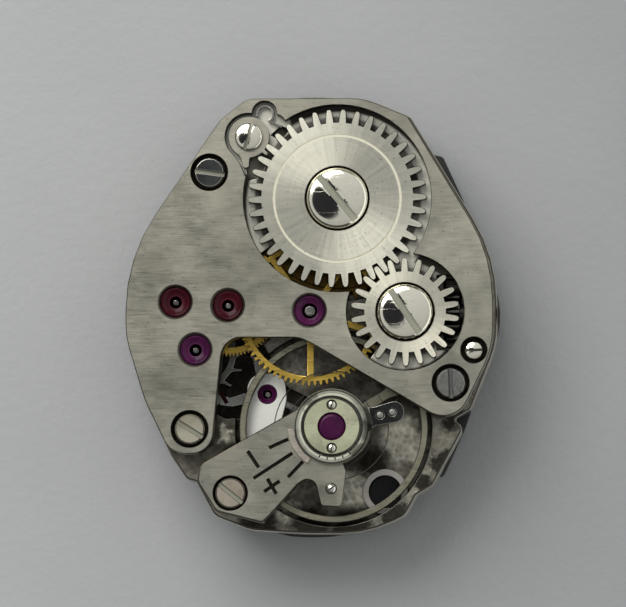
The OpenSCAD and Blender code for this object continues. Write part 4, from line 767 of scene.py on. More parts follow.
# The main plate: its first places are painted highlights, its second places painted shadows
SATIN_PLATE = Grained(
    "satin_plate", (0.40, 0.38, 0.31), 0.40, grime_and_shade_reach=0.8,
    worn_and_highlit=((3.2, -4.55, 0.95), (1.45, -6.2, 0.8), (-0.9, -6.9, 0.5), (-3.0, -4.3, 0.35)),
    painted_shadows=((2.2, -5.2, 0.75), (4.65, -5.25, 0.6), (5.0, -3.7, 0.55), (-1.8, -7.35, 0.8), (0.0, -7.5, 0.9),
           (1.4, -7.5, 0.9), (2.9, -7.05, 0.7), (3.9, -5.9, 0.4), (-2.6, -5.0, 0.7), (-2.6, -2.2, 0.9),
           (1.9, -1.6, 0.5), (2.6, -2.1, 0.5), (3.3, -2.6, 0.5), (4.0, -3.0, 0.5)))
# The wheels' bed: painted shade under the wheels, and a painted cast shadow along the walls from circles set
# off the recesses
RECESS_FLOOR = Recess("recess_floor", (0.90, 0.88, 0.76), 0.34, 0.6, smear=0.25, tint=(0.45, 0.42, 0.34),
                      grime_and_shade=0.7, grime_and_shade_reach=0.12, wheels=((*BARREL, 2.95), (*CROWN, 1.62)),
                      walls=((1.05, 3.72, 3.24), (3.28, -0.14, 1.84), (-2.0, 6.2, 1.35)))
BRIGHT_EDGE = Polished("bright_edge", (0.66, 0.65, 0.59), 0.30, grime_and_shade=0.0)
# Near-black bevels: painted shade standing for the dark that polished edges reflect
SHADED_EDGE = Brushed("shaded_edge", (0.075, 0.070, 0.058), 0.38, contrast=0.2)
# Near-black upright walls: painted shade, with some dirt
SHADED_WALL = Grained("shaded_wall", (0.055, 0.050, 0.040), 0.34, grime_and_shade=0.6, dirt_share=0.5)
MILLED_RIM = Grained("milled_rim", (0.58, 0.56, 0.47), 0.40, 0.6, grime_and_shade=0.4, dirt_share=0.5,
                     dark_below=-2.0, unshaded_above=-1.0, depth_mm=0.004)
# Near-black painted shade for screw wells, grooves round screw heads and engraved strokes
BLACK_SHADE = Grained("black_shade", (0.020, 0.018, 0.014), 0.5, grime_and_shade=0.3, dirt_share=0.4)
PLATE_EDGE = Polished("plate_edge", (0.78, 0.76, 0.68), 0.24, smear=0.6, tint=(0.16, 0.14, 0.10), grime_and_shade=0.3)
LAND = Polished("turned_land", (0.60, 0.57, 0.52), 0.30, 0.6, smear=0.3, grime_and_shade=0.3)
WHITE_NICKEL = Polished("white_nickel", (1.0, 0.995, 0.92), 0.50, 0.0, smear=0.02, grime_and_shade=0.2, grime_and_shade_reach=0.1)
TURNED_LINE = Polished("turned_line", (0.84, 0.81, 0.66), 0.45, 0.2, smear=0.3, grime_and_shade=0.3, grime_and_shade_reach=0.1)
MIRROR_STEEL = Polished("mirror_steel", (0.95, 0.91, 0.76), 0.06, smear=0.04, grime_and_shade=0.4, grime_and_shade_reach=0.08)
BRIGHT_STEEL = Polished("bright_steel", (0.76, 0.745, 0.68), 0.16, smear=0.10)
PALE_STEEL = Polished("pale_steel", (0.58, 0.555, 0.455), 0.30, smear=0.12, grime_and_shade=0.6)
FOOT_STEEL = Polished("foot_steel", (0.48, 0.46, 0.37), 0.36, 0.8, smear=0.5, tint=(0.28, 0.25, 0.18),
                      grime_and_shade=0.5, grime_and_shade_reach=0.12)
PINK_STEEL = Polished("pink_steel", (0.47, 0.43, 0.36), 0.34, 0.9, smear=0.6, tint=(0.24, 0.19, 0.14),
                      grime_and_shade=0.5, grime_and_shade_reach=0.12)
SLOT_FLOOR = Polished("slot_floor", (0.43, 0.43, 0.34), 0.36, 0.5, smear=0.35, tint=(0.2, 0.19, 0.13),
                      grime_and_shade=0.3, grime_and_shade_reach=0.03)
SLOT_EDGE = Polished("slot_edge", (0.74, 0.71, 0.60), 0.26, grime_and_shade=0.0)
# Painted shade in the slots of some screws and of the hairspring stud
SHADED_SLOT = Polished("shaded_slot", (0.10, 0.095, 0.08), 0.36, 0.6, smear=0.25, grime_and_shade=0.4)
SATIN_STEEL = Brushed("satin_steel", (0.22, 0.215, 0.19), 0.3, contrast=0.15)
BLUED_STEEL = Polished("blued_steel", (0.048, 0.051, 0.053), 0.20, smear=0.3, tint=(0.14, 0.14, 0.13))
SPRING_STEEL = Brushed("spring_steel", (0.06, 0.06, 0.06), 0.3)
DARK_STEEL = Brushed("dark_steel", (0.055, 0.058, 0.058), 0.2, contrast=0.2, tarnish_share=0.05)
DULL_STEEL = Brushed("dull_steel", (0.20, 0.20, 0.19), 0.40, contrast=0.45, tarnish_share=0.1, cut=Cut.ROUND,
                     centre=(*DIRTY_SCREW, 0.0))
# Steel darkened by painted shade, for the keyless pieces low under the bridge and the mainspring
SHADED_STEEL = Brushed("shaded_steel", (0.12, 0.115, 0.10), 0.36, contrast=0.25, tarnish_share=0.15)
PIN_STEEL = Polished("pin_steel", (0.34, 0.34, 0.31), 0.34, smear=0.3, tint=(0.12, 0.12, 0.10))
# The regulator ring: a bright ring of painted highlight, darker rings of painted shade and places of painted
# shadow
RING_STEEL = PaintedBands("ring_steel", (0.52, 0.52, 0.43), 0.24, smear=0.5, tint=(0.20, 0.20, 0.15), grime_and_shade=0.5,
                     centre=BALANCE, steps=((0.9, 1.07, 0.05), (1.085, 1.15, 1.7), (1.235, 1.4, 0.2)),
                     shaded_patches=((2.0, -4.2, 0.5), (1.8, -4.9, 0.4), (0.0, -3.2, 0.3)))
GOLD_BRASS = Brushed("gold_brass", (0.98, 0.64, 0.13), 0.28, contrast=0.10, tarnish=(0.55, 0.30, 0.04),
                     grime_and_shade=0.4, grime_and_shade_reach=0.1)
# Brass darkened by painted shade, for the barrel, the collet and the sides of the wheels
SHADED_BRASS = Brushed("shaded_brass", (0.17, 0.105, 0.025), 0.34, contrast=0.3, tarnish=(0.05, 0.03, 0.01),
                     tarnish_share=0.6)
TURNED_RATCHET = Brushed("turned_ratchet", (0.75, 0.73, 0.61), 0.32, 0.85, cut=Cut.ROUND,
                         centre=(*BARREL, 0.0), contrast=0.09, glow=0.75, grime_and_shade=0.4, grime_and_shade_reach=0.1)
TURNED_CROWN = Brushed("turned_crown", (0.84, 0.81, 0.66), 0.34, 0.85, cut=Cut.ROUND, centre=(*CROWN, 0.0),
                       contrast=0.09, glow=0.7, grime_and_shade=0.4, grime_and_shade_reach=0.1)
BALANCE_NICKEL = Brushed("balance_nickel", (0.44, 0.42, 0.30), 0.28, contrast=0.10)
CAP_CREAM = Brushed("cap_cream", (0.66, 0.66, 0.46), 0.42, 0.7, contrast=0.10, tarnish=(0.30, 0.33, 0.20),
                    tarnish_share=0.85, scratch_share=0.2, grime_and_shade=0.6,
                    shaded_patches=((0.2, -4.7, 0.45), (1.5, -3.6, 0.4)))
PINK_NICKEL = Brushed("pink_nickel", (0.62, 0.55, 0.47), 0.36, contrast=0.14, grime_and_shade=0.6)
GILT = Polished("gilt", (0.75, 0.50, 0.16), 0.18)
RUBY = Stone("ruby", (0.055, 0.002, 0.007), 0.22, 0.0, deep=(0.022, 0.001, 0.004))
# Lighter jewel cups: painted light in the jewels' oil cups
LIT_RUBY_CUP = Stone("lit_ruby_cup", (0.10, 0.008, 0.020), 0.30, 0.0, deep=(0.035, 0.003, 0.008))
LIT_PLUM_CUP = Stone("lit_plum_cup", (0.12, 0.022, 0.085), 0.30, 0.0, deep=(0.045, 0.008, 0.035))
# Painted shade round the jewels in their seats
SHADED_SEAT = Polished("shaded_seat", (0.24, 0.23, 0.19), 0.30, smear=0.6, tint=(0.05, 0.045, 0.035), grime_and_shade=0.4)
PLUM_RUBY = Stone("plum_ruby", (0.085, 0.008, 0.060), 0.22, 0.0, deep=(0.034, 0.004, 0.028))
DIAL_LACQUER = Lacquer("dial_lacquer", (0.010, 0.010, 0.011), 0.3, 0.0)


# ---- modelling

# How faces lean, how edges meet, the degrees of a finely faceted flat, and welding distances
UPRIGHT = 0.5
LEVEL = 0.99999
SHARP = math.radians(32)
SMOOTH = math.radians(30)
DOME_LEAN = (0.6, 0.9999)
DOME_CORNERS = 40
DOME_SLACK = 0.004
FINE = 0.05
WELD = 1e-4
WELD_SPRING = 1e-5


class Bench:
    """Where pieces are made: in millimetres, one at a time, and then put in their place."""

    @staticmethod
    def clear() -> None:
        """Deselects everything, with no object in edit mode."""
        if bpy.context.object and bpy.context.object.mode != "OBJECT":
            bpy.ops.object.mode_set(mode="OBJECT")
        bpy.ops.object.select_all(action="DESELECT")

    @staticmethod
    def hold(piece: Piece) -> None:
        """Selects one piece alone and makes it active.

        Args:
            piece: the piece.
        """
        Bench.clear()
        piece.select_set(True)
        bpy.context.view_layer.objects.active = piece

    @staticmethod
    def edit(piece: Piece) -> None:
        """Opens a piece in edit mode with all of it selected.

        Args:
            piece: the piece.
        """
        Bench.hold(piece)
        bpy.ops.object.mode_set(mode="EDIT")
        bpy.ops.mesh.select_mode(type="VERT")
        bpy.ops.mesh.select_all(action="SELECT")

    @staticmethod
    def apply(piece: Piece, kind: str, **settings: object) -> None:
        """Adds a modifier, sets it and applies it.

        Args:
            piece: the piece.
            kind: the modifier's type.
            settings: its properties.
        """
        Bench.hold(piece)
        modifier = piece.modifiers.new(kind.lower(), kind)
        for key, value in settings.items():
            setattr(modifier, key, value)
        bpy.ops.object.modifier_apply(modifier=modifier.name)

    @staticmethod
    def copy_of(node: str, name: str, flat: float = 0.6) -> Piece:
        """A copy of a CAD node in millimetres, with its loose triangles joined and its flats made whole.

        Args:
            node: the CAD node.
            name: the copy's name.
            flat: faces that meet flatter than this many degrees become one.

        Returns:
            The copy.
        """
        data = frame["nodes"][node].data.copy()
        data.materials.clear()
        data.transform(Matrix.Scale(1 / MM, 4))
        piece = bpy.data.objects.new(name, data)
        bpy.context.scene.collection.objects.link(piece)
        Bench.edit(piece)
        bpy.ops.mesh.remove_doubles(threshold=WELD)
        bpy.ops.mesh.dissolve_limited(angle_limit=math.radians(flat))
        bpy.ops.object.mode_set(mode="OBJECT")
        return piece

    @staticmethod
    def break_edges(piece: Piece, narrow: float, wide: float, steps: int, tall: float, slot: int) -> None:
        """Bevels the outward edges: wide where a tall wall drops from them, and narrow elsewhere.

        Args:
            piece: the piece in millimetres.
            narrow: bevel of the small edges.
            wide: bevel of the edges of tall walls.
            steps: faces across a bevel.
            tall: height from which a wall counts as tall.
            slot: material of the new faces, or -1 for their neighbours'.
        """
        mesh = bmesh.new()
        mesh.from_mesh(piece.data)
        weight = mesh.edges.layers.float.new("bevel_weight_edge")
        for edge in mesh.edges:
            if len(edge.link_faces) == 2 and edge.is_convex and edge.calc_face_angle(0.0) > SHARP:
                heights = [corner.co.z for face in edge.link_faces for corner in face.verts]
                drop = max(heights) - min(heights)
                edge[weight] = 1.0 if drop > tall else narrow / wide
        mesh.to_mesh(piece.data)
        mesh.free()
        Bench.apply(piece, "BEVEL", width=wide, segments=steps, limit_method="WEIGHT", material=slot,
                    use_clamp_overlap=wide == narrow, harden_normals=False)

    @staticmethod
    def rim(piece: Piece, slack: float) -> list[int]:
        """Finds the walls that stand on a piece's outline.

        Args:
            piece: the piece.
            slack: how far inside its hull a wall may stand, in millimetres.

        Returns:
            The faces' numbers.
        """
        corners = [vertex.co.xy for vertex in piece.data.vertices]
        hull = [corners[i] for i in convex_hull_2d(corners)]
        found = []
        for face in piece.data.polygons:
            if abs(face.normal.z) < UPRIGHT:
                way = face.normal.xy.normalized()
                if max(way.dot(corner) for corner in hull) - way.dot(face.center.xy) < slack:
                    found.append(face.index)
        return found

    @staticmethod
    def cut(piece: Piece, place: Place, way: Place) -> None:
        """Cuts the faces of a piece along a plane and keeps both sides.

        Args:
            piece: the piece in millimetres.
            place: a point of the plane.
            way: the plane's direction.
        """
        Bench.edit(piece)
        bpy.ops.mesh.bisect(plane_co=place, plane_no=way, use_fill=False,
                            clear_inner=False, clear_outer=False)
        bpy.ops.object.mode_set(mode="OBJECT")

    @staticmethod
    def domes(piece: Piece) -> Domes:
        """Finds the domed heads of a piece.

        Args:
            piece: the piece in millimetres, before its edges are broken.

        Returns:
            The centre and radius of each dome's sphere, and the head's radius.
        """
        mesh = bmesh.new()
        mesh.from_mesh(piece.data)
        found, left = [], set(mesh.verts)
        while left:
            heap = [left.pop()]
            part = []
            while heap:
                corner = heap.pop()
                part.append(corner)
                for edge in corner.link_edges:
                    other = edge.other_vert(corner)
                    if other in left:
                        left.remove(other)
                        heap.append(other)
            low, high = DOME_LEAN
            bent = {c for v in part for f in v.link_faces if low < f.normal.z < high for c in f.verts}
            if len(bent) < DOME_CORNERS:
                continue
            xs, ys = [c.co.x for c in bent], [c.co.y for c in bent]
            middle = Vector(((min(xs) + max(xs)) / 2, (min(ys) + max(ys)) / 2, 0.0))
            away = sorted((math.hypot(c.co.x - middle.x, c.co.y - middle.y), c.co.z) for c in bent)
            (near_r, near_z), (far_r, far_z) = away[0], away[-1]
            middle.z = (near_r ** 2 - far_r ** 2 + near_z ** 2 - far_z ** 2) / (2 * (near_z - far_z))
            found.append((middle, math.hypot(far_r, far_z - middle.z), far_r))
        mesh.free()
        return found

    @staticmethod
    def round_off(piece: Piece, domes: Domes) -> None:
        """Gives the faces of domed heads the normals of true spheres.

        Args:
            piece: the finished piece in millimetres.
            domes: each dome's centre, radius and reach.
        """
        normals = [Vector((0.0, 0.0, 0.0))] * len(piece.data.loops)
        for face in piece.data.polygons:
            for centre, radius, reach in domes:
                ways = [piece.data.vertices[i].co - centre for i in face.vertices]
                if face.normal.z > UPRIGHT and all(
                        abs(way.length - radius) < DOME_SLACK
                        and math.hypot(way.x, way.y) < reach + DOME_SLACK
                        for way in ways):
                    for loop, way in zip(face.loop_indices, ways):
                        normals[loop] = way.normalized()
        piece.data.normals_split_custom_set(normals)

    @staticmethod
    def finish(piece: Piece, body: str, slot: str, replaced: Sequence[str], domes: Domes = ()) -> None:
        """Takes a piece from millimetres to its place, smooths it, hangs it on its body and hides the CAD
        nodes it replaces.

        Args:
            piece: the piece.
            body: the CAD body it rides on.
            slot: the record's material slot; not used.
            replaced: the CAD nodes it stands for.
            domes: its domed heads, in millimetres.
        """
        Bench.hold(piece)
        bpy.ops.object.transform_apply(location=True, rotation=True, scale=True)
        bpy.ops.object.shade_smooth_by_angle(angle=SMOOTH)
        for face in piece.data.polygons:
            if abs(face.normal.z) > LEVEL:
                face.use_smooth = False
        if domes:
            Bench.round_off(piece, domes)
        piece.data.transform(Matrix.Scale(MM, 4))
        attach(piece, body)
        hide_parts(*replaced)
        log.info("%s: %d faces", piece.name, len(piece.data.polygons))


@dataclass(frozen=True)
class Zone:
    """A round zone of a piece that has a finish of its own."""

    finish: Finish
    centre: Point
    radius: float
    low: float = -1.0
    high: float = 9.0
    inner: float = 0.0

    def holds(self, spot: Vector) -> bool:
        """Tells whether a face's middle, in millimetres, lies in the zone."""
        reach = math.hypot(spot.x - self.centre[0], spot.y - self.centre[1])
        return self.inner <= reach < self.radius and self.low < spot.z < self.high


@dataclass
class Dressed:
    """A CAD node shown through a copy with broken edges."""

    node: str
    finish: Finish
    edge: Optional[Finish] = None
    bevel_mm: float = 0.02
    steps: int = 2
    wide_mm: float = 0.0
    tall_mm: float = 0.6
    flat: float = 0.6
    wall: Optional[Finish] = None
    rim: Optional[Finish] = None
    slots: Optional[Finish] = None
    zones: Sequence[Zone] = ()
    cut_at: Optional[Place] = None
    cut_way: Place = (1.0, 0.0, 0.0)
    rim_slack: float = 0.7

    def build(self) -> None:
        """Makes the copy, bevels its edges and dresses it."""
        piece = Bench.copy_of(self.node, self.node + "_piece", self.flat)
        if self.cut_at:
            Bench.cut(piece, self.cut_at, self.cut_way)
        for finish in (self.finish, self.edge, self.wall, self.slots):
            piece.data.materials.append((finish or self.finish).material())
        domes = Bench.domes(piece)
        for face in piece.data.polygons:
            if abs(face.normal.z) < UPRIGHT:
                face.material_index = Side.WALL.value
            elif domes and face.normal.z > LEVEL:
                face.material_index = Side.SLOT.value
        if self.rim:
            piece.data.materials.append(self.rim.material())
            for index in Bench.rim(piece, self.rim_slack):
                piece.data.polygons[index].material_index = Side.RIM.value
        Bench.break_edges(piece, self.bevel_mm, max(self.wide_mm, self.bevel_mm), self.steps, self.tall_mm,
                          Side.EDGE.value if self.edge else -1)
        for zone in self.zones:
            piece.data.materials.append(zone.finish.material())
            for face in piece.data.polygons:
                if zone.holds(face.center):
                    face.material_index = len(piece.data.materials) - 1
        Bench.finish(piece, BODY_OF[self.node], SLOT_OF[self.node], [self.node], domes)


class Assembly:
    """Pieces that are built together."""

    def parts(self) -> Sequence[Dressed]:
        """The dressed pieces, in the order in which they are built."""
        raise NotImplementedError

    def build(self) -> None:
        """Builds the pieces."""
        for piece in self.parts():
            piece.build()


# ---- sub-assemblies, with their sizes, heights and places in millimetres


@dataclass
class Plates(Assembly):
    """Main plate, train bridge, balance cock and pallet bridge."""

    land: Zone = Zone(LAND, (2.57, -6.26), 0.82, 2.47, 2.65)
    rim: Zone = Zone(PLATE_EDGE, (0.0, 0.0), 9.0, 3.11, 3.17)
    crescent: Zone = Zone(PINK_NICKEL, BALANCE, 1.6, 4.32)
    # Painted shade in the cock's engraved strokes and in the screw wells
    strokes: Zone = Zone(BLACK_SHADE, (-1.2, -5.4), 1.4, 4.23, 4.27)
    cock_well: Zone = Zone(BLACK_SHADE, (-2.75, -6.35), 0.76, 3.4, 3.95)
    lever_well: Zone = Zone(BLACK_SHADE, (5.72, -1.4), 0.53, 3.4, 4.1)
    wells: tuple[Zone, ...] = tuple(Zone(BLACK_SHADE, at, 0.80, 3.4, 3.95) for at in WELLS_AT)
    floors: tuple[Zone, ...] = tuple(
        Zone(RECESS_FLOOR, at, reach, 3.79, 3.81)
        for at, reach in ((BARREL, 3.4), (CROWN, 2.1), (CLICK, 1.6)))
    # Painted shade round the jewels' seats
    seats: tuple[Zone, ...] = tuple(Zone(SHADED_SEAT, at, 0.64, 3.7, 4.297) for at in JEWELS_AT)

    def parts(self) -> Sequence[Dressed]:
        """Lists the plates.

        Returns:
            The plates from the dial side up.
        """
        walls = {"wall": SHADED_WALL, "rim": MILLED_RIM}
        return (
            Dressed("main_plate", SATIN_PLATE, SHADED_EDGE, 0.025, 2, 0.08, 1.85,
                    zones=(self.land, self.rim), **walls),
            Dressed("train_bridge", SATIN_BRIDGE, SHADED_EDGE, 0.02, 2, 0.035,
                    zones=(*self.floors, *self.seats, *self.wells, self.lever_well), **walls),
            Dressed("balance_cock", SATIN_COCK, SHADED_EDGE, 0.012, 2, 0.07,
                    zones=(self.crescent, self.strokes, self.cock_well), **walls),
            Dressed("pallet_bridge", WHITE_NICKEL),
        )


@dataclass
class Winding(Assembly):
    """Ratchet wheel, crown wheel, click, pinions and their levers."""

    # Painted shade in the grooves round the ratchet and crown screws
    barrel_groove: Zone = Zone(BLACK_SHADE, BARREL, 1.2, 4.12, 4.14)
    barrel_line: Zone = Zone(TURNED_LINE, BARREL, 2.5, 4.20, 4.249)
    crown_groove: Zone = Zone(BLACK_SHADE, CROWN, 1.1, 4.12, 4.14)

    def parts(self) -> Sequence[Dressed]:
        """Lists the winding work.

        Returns:
            The wheels and then the levers.
        """
        return (
            Dressed("ratchet_wheel", TURNED_RATCHET, None, 0.018, 1, wall=SHADED_WALL,
                    zones=(self.barrel_groove, self.barrel_line)),
            Dressed("crown_wheel", TURNED_CROWN, None, 0.018, 1, wall=SHADED_WALL, zones=(self.crown_groove,)),
            Dressed("crown_wheel_core", BRIGHT_STEEL),
            Dressed("click", PALE_STEEL, BRIGHT_EDGE, 0.05, 3, wall=SHADED_WALL),
            Dressed("click_spring", BRIGHT_STEEL, None, 0.01, wall=SHADED_WALL),
            *(Dressed(node, SHADED_STEEL, SATIN_STEEL)
              for node in ("winding_pinion", "sliding_pinion", "setting_lever", "yoke")),
            Dressed("yoke_spring", BRIGHT_STEEL, None, 0.01),
        )


@dataclass
class Train(Assembly):
    """Barrel, wheels and pinions of the going train, and the motion work."""

    wheels: Sequence[str] = ("centre_wheel", "third_wheel", "fourth_wheel", "minute_wheel", "hour_wheel")
    drums: Sequence[str] = ("barrel_drum", "barrel_cover")
    pinions: Sequence[str] = ("centre_pinion", "third_pinion", "fourth_pinion", "escape_pinion",
                              "cannon_pinion", "setting_wheel", "barrel_arbor")

    def parts(self) -> Sequence[Dressed]:
        """Lists the train.

        Returns:
            The wheels, the barrel and the pinions.
        """
        return (
            *(Dressed(node, GOLD_BRASS, None, 0.015, wall=SHADED_BRASS) for node in self.wheels),
            *(Dressed(node, SHADED_BRASS) for node in self.drums),
            *(Dressed(node, BRIGHT_STEEL, None, 0.015) for node in self.pinions),
            Dressed("escape_wheel", SATIN_STEEL, BRIGHT_EDGE, 0.01),
            Dressed("mainspring", SHADED_STEEL, None, 0.01),
        )


@dataclass
class Escapement(Assembly):
    """Pallet fork, balance, hairspring and regulator, with angles in degrees."""

    ring_r: float = 1.40
    tail_bearing: float = 12.0
    ring: Zone = Zone(RING_STEEL, BALANCE, 1.41, 4.489)
    # The dark outline round the regulator ring is painted shade
    outline: Zone = Zone(SHADED_EDGE, BALANCE, 1.41, 4.389, 4.489, 1.22)
    cap_shade: Zone = Zone(SHADED_EDGE, BALANCE, 1.2, FACE, 4.5385, 0.95)
    spring_low: float = 3.55
    spring_high: float = 3.70
    spring_t: float = 0.026
    inner_r: float = 0.415
    spiral_r: float = 1.5
    outer_r: float = 1.94
    stud_r: float = 2.12
    turns: int = 8
    last_short: float = 30.0
    opens_over: float = 200.0
    even_over: float = 80.0
    end_turn: float = 269.2
    turn_steps: int = 48

    def spring_radius(self, angle: float) -> float:
        """Finds how far from the balance's axis the hairspring lies.

        Args:
            angle: the angle from its inner end.

        Returns:
            The radius.
        """
        even = self.turns * 360 - self.last_short
        marks = ((0.0, self.inner_r), (even - self.opens_over, self.spiral_r), (even, self.outer_r),
                 (even + self.even_over, self.outer_r), (self.turns * 360 + self.end_turn, self.stud_r))
        for (low, start), (high, end) in zip(marks, marks[1:]):
            if angle <= high:
                return start + (end - start) * (angle - low) / (high - low)
        return self.stud_r

    def hairspring(self) -> None:
        """Winds the hairspring: a ribbon along a spiral, given its thickness."""
        end = self.turns * 360 + self.end_turn
        steps = round(end / 360 * self.turn_steps)
        Bench.clear()
        bpy.ops.curve.primitive_nurbs_path_add()
        path = bpy.context.object
        path.name = "hairspring_ribbon"
        path.data.splines.clear()
        line = path.data.splines.new("POLY")
        line.points.add(steps)
        for step, point in enumerate(line.points):
            angle = end * step / steps
            reach, way = self.spring_radius(angle), math.radians(angle)
            point.co = (BALANCE[0] + reach * math.cos(way), BALANCE[1] + reach * math.sin(way),
                        (self.spring_low + self.spring_high) / 2, 1.0)
        path.data.extrude = (self.spring_high - self.spring_low) / 2
        bpy.ops.object.convert(target="MESH")
        ribbon = bpy.context.object
        Bench.apply(ribbon, "SOLIDIFY", thickness=self.spring_t, offset=0.0)
        Bench.edit(ribbon)
        bpy.ops.mesh.remove_doubles(threshold=WELD_SPRING)
        bpy.ops.mesh.normals_make_consistent(inside=False)
        bpy.ops.object.mode_set(mode="OBJECT")
        ribbon.data.materials.clear()
        ribbon.data.materials.append(SPRING_STEEL.material())
        Bench.finish(ribbon, BODY_OF["hairspring"], SLOT_OF["hairspring"], ["hairspring"])

    def parts(self) -> Sequence[Dressed]:
        """Lists the escapement without its hairspring.

        Returns:
            The fork, the balance and the regulator.
        """
        lean = math.radians(self.tail_bearing)
        tail = (math.cos(lean), math.sin(lean), 0.0)
        root = (BALANCE[0] + self.ring_r * tail[0], BALANCE[1] + self.ring_r * tail[1], FACE)
        return (
            *(Dressed(node, BRIGHT_STEEL, None, 0.01) for node in ("pallet_fork", "pallet_staff")),
            Dressed("pallet_stones", RUBY, None, 0.008),
            Dressed("balance_wheel", BALANCE_NICKEL, SHADED_EDGE, 0.03, wall=SHADED_WALL),
            *(Dressed(node, BRIGHT_STEEL, None, 0.01) for node in ("balance_staff", "roller")),
            Dressed("impulse_jewel", RUBY, None, 0.01),
            Dressed("collet", SHADED_BRASS, None, 0.01),
            Dressed("hairspring_stud", BRIGHT_STEEL, None, 0.008, 1, flat=FINE, wall=SHADED_WALL,
                    slots=SHADED_SLOT),
            Dressed("stud_screw", BRIGHT_STEEL, None, 0.01),
            Dressed("regulator", DARK_STEEL, BRIGHT_EDGE, 0.045, 3, wall=SHADED_WALL, cut_at=root, cut_way=tail,
                    zones=(self.ring, self.outline)),
            Dressed("curb_pins", PIN_STEEL, None, 0.08, 4, wall=SHADED_WALL),
            Dressed("cap_plates", CAP_CREAM, SHADED_EDGE, wall=SHADED_WALL, zones=(self.cap_shade,)),
        )

    def build(self) -> None:
        """Builds the hairspring and then the other pieces."""
        self.hairspring()
        super().build()


@dataclass
class Stones(Assembly):
    """The jewels."""

    plums: tuple[Zone, ...] = tuple(Zone(PLUM_RUBY, at, 1.0) for at in (JEWELS_AT[0], ESCAPE))
    # Lighter cups round the bores: painted light
    lit_cups: tuple[Zone, ...] = tuple(Zone(finish, at, 0.27, 4.0, 4.15) for finish, at in zip(
        (LIT_PLUM_CUP, LIT_RUBY_CUP, LIT_RUBY_CUP, LIT_PLUM_CUP), JEWELS_AT))

    def parts(self) -> Sequence[Dressed]:
        """Lists the jewels.

        Returns:
            The bridge's jewels and then the others.
        """
        return (
            Dressed("bridge_jewels", RUBY, None, 0.012, zones=(*self.plums, *self.lit_cups)),
            *(Dressed(node, finish, None, 0.02, 3)
              for node, finish in (("plate_jewels", RUBY), ("pallet_bridge_jewel", PLUM_RUBY),
                                   ("balance_jewels", RUBY), ("cap_jewels", PLUM_RUBY))),
        )


@dataclass
class Screws(Assembly):
    """All screws."""

    foot_slot: Zone = Zone(SLOT_FLOOR, (-4.17, -4.12), 1.0, 4.05, 4.11)
    cock_slot: Zone = Zone(SLOT_FLOOR, (-2.75, -6.35), 1.0, 4.05, 4.11)
    blued_slot: Zone = Zone(SLOT_FLOOR, (-3.5, 4.85), 1.0, 4.05, 4.11)
    # The dirty screw: dull steel, its slot, and a bright arc at its right that is a painted highlight
    dirty_and_highlit: tuple[Zone, ...] = (
        Zone(DULL_STEEL, DIRTY_SCREW, 1.0), Zone(SLOT_FLOOR, (4.88, -3.0), 0.4, 4.05, 4.11),
        Zone(BRIGHT_EDGE, (5.45, -2.45), 0.42, 4.18, 4.2195))

    def parts(self) -> Sequence[Dressed]:
        """Lists the screws, all with fine flats and walls in painted shade.

        Returns:
            The screws.
        """
        return [
            Dressed(node, finish, edge, bevel, flat=FINE, wall=SHADED_WALL, slots=slots, zones=zones)
            for node, finish, edge, bevel, slots, zones in (
                ("bridge_screws", FOOT_STEEL, SHADED_EDGE, 0.035, None, (self.foot_slot, *self.dirty_and_highlit)),
                ("blued_bridge_screw", BLUED_STEEL, BRIGHT_EDGE, 0.03, None, (self.blued_slot,)),
                ("cock_screw", PINK_STEEL, SHADED_EDGE, 0.035, None, (self.cock_slot,)),
                ("pallet_bridge_screws", BRIGHT_STEEL, None, 0.01, None, ()),
                ("setting_lever_screw", MIRROR_STEEL, SHADED_EDGE, 0.012, SHADED_SLOT, ()),
                ("click_screw", MIRROR_STEEL, SLOT_EDGE, 0.018, SLOT_FLOOR, ()),
                ("ratchet_screw", MIRROR_STEEL, SLOT_EDGE, 0.03, SLOT_FLOOR, ()),
                ("crown_wheel_screw", MIRROR_STEEL, SLOT_EDGE, 0.03, SLOT_FLOOR, ()),
                ("dial_foot_screws", BRIGHT_STEEL, None, 0.01, None, ()),
                ("cap_plate_screws", MIRROR_STEEL, None, 0.008, SHADED_SLOT, ()),
            )]


@dataclass
class DialFace(Assembly):
    """The dial under the plate, with gilt batons on its face."""

    batons: Zone = Zone(GILT, (0.0, 0.0), 9.0, high=0.945)

    def parts(self) -> Sequence[Dressed]:
        """The dial."""
        return (Dressed("dial", DIAL_LACQUER, None, 0.03, zones=(self.batons,)),)


# ---- studio


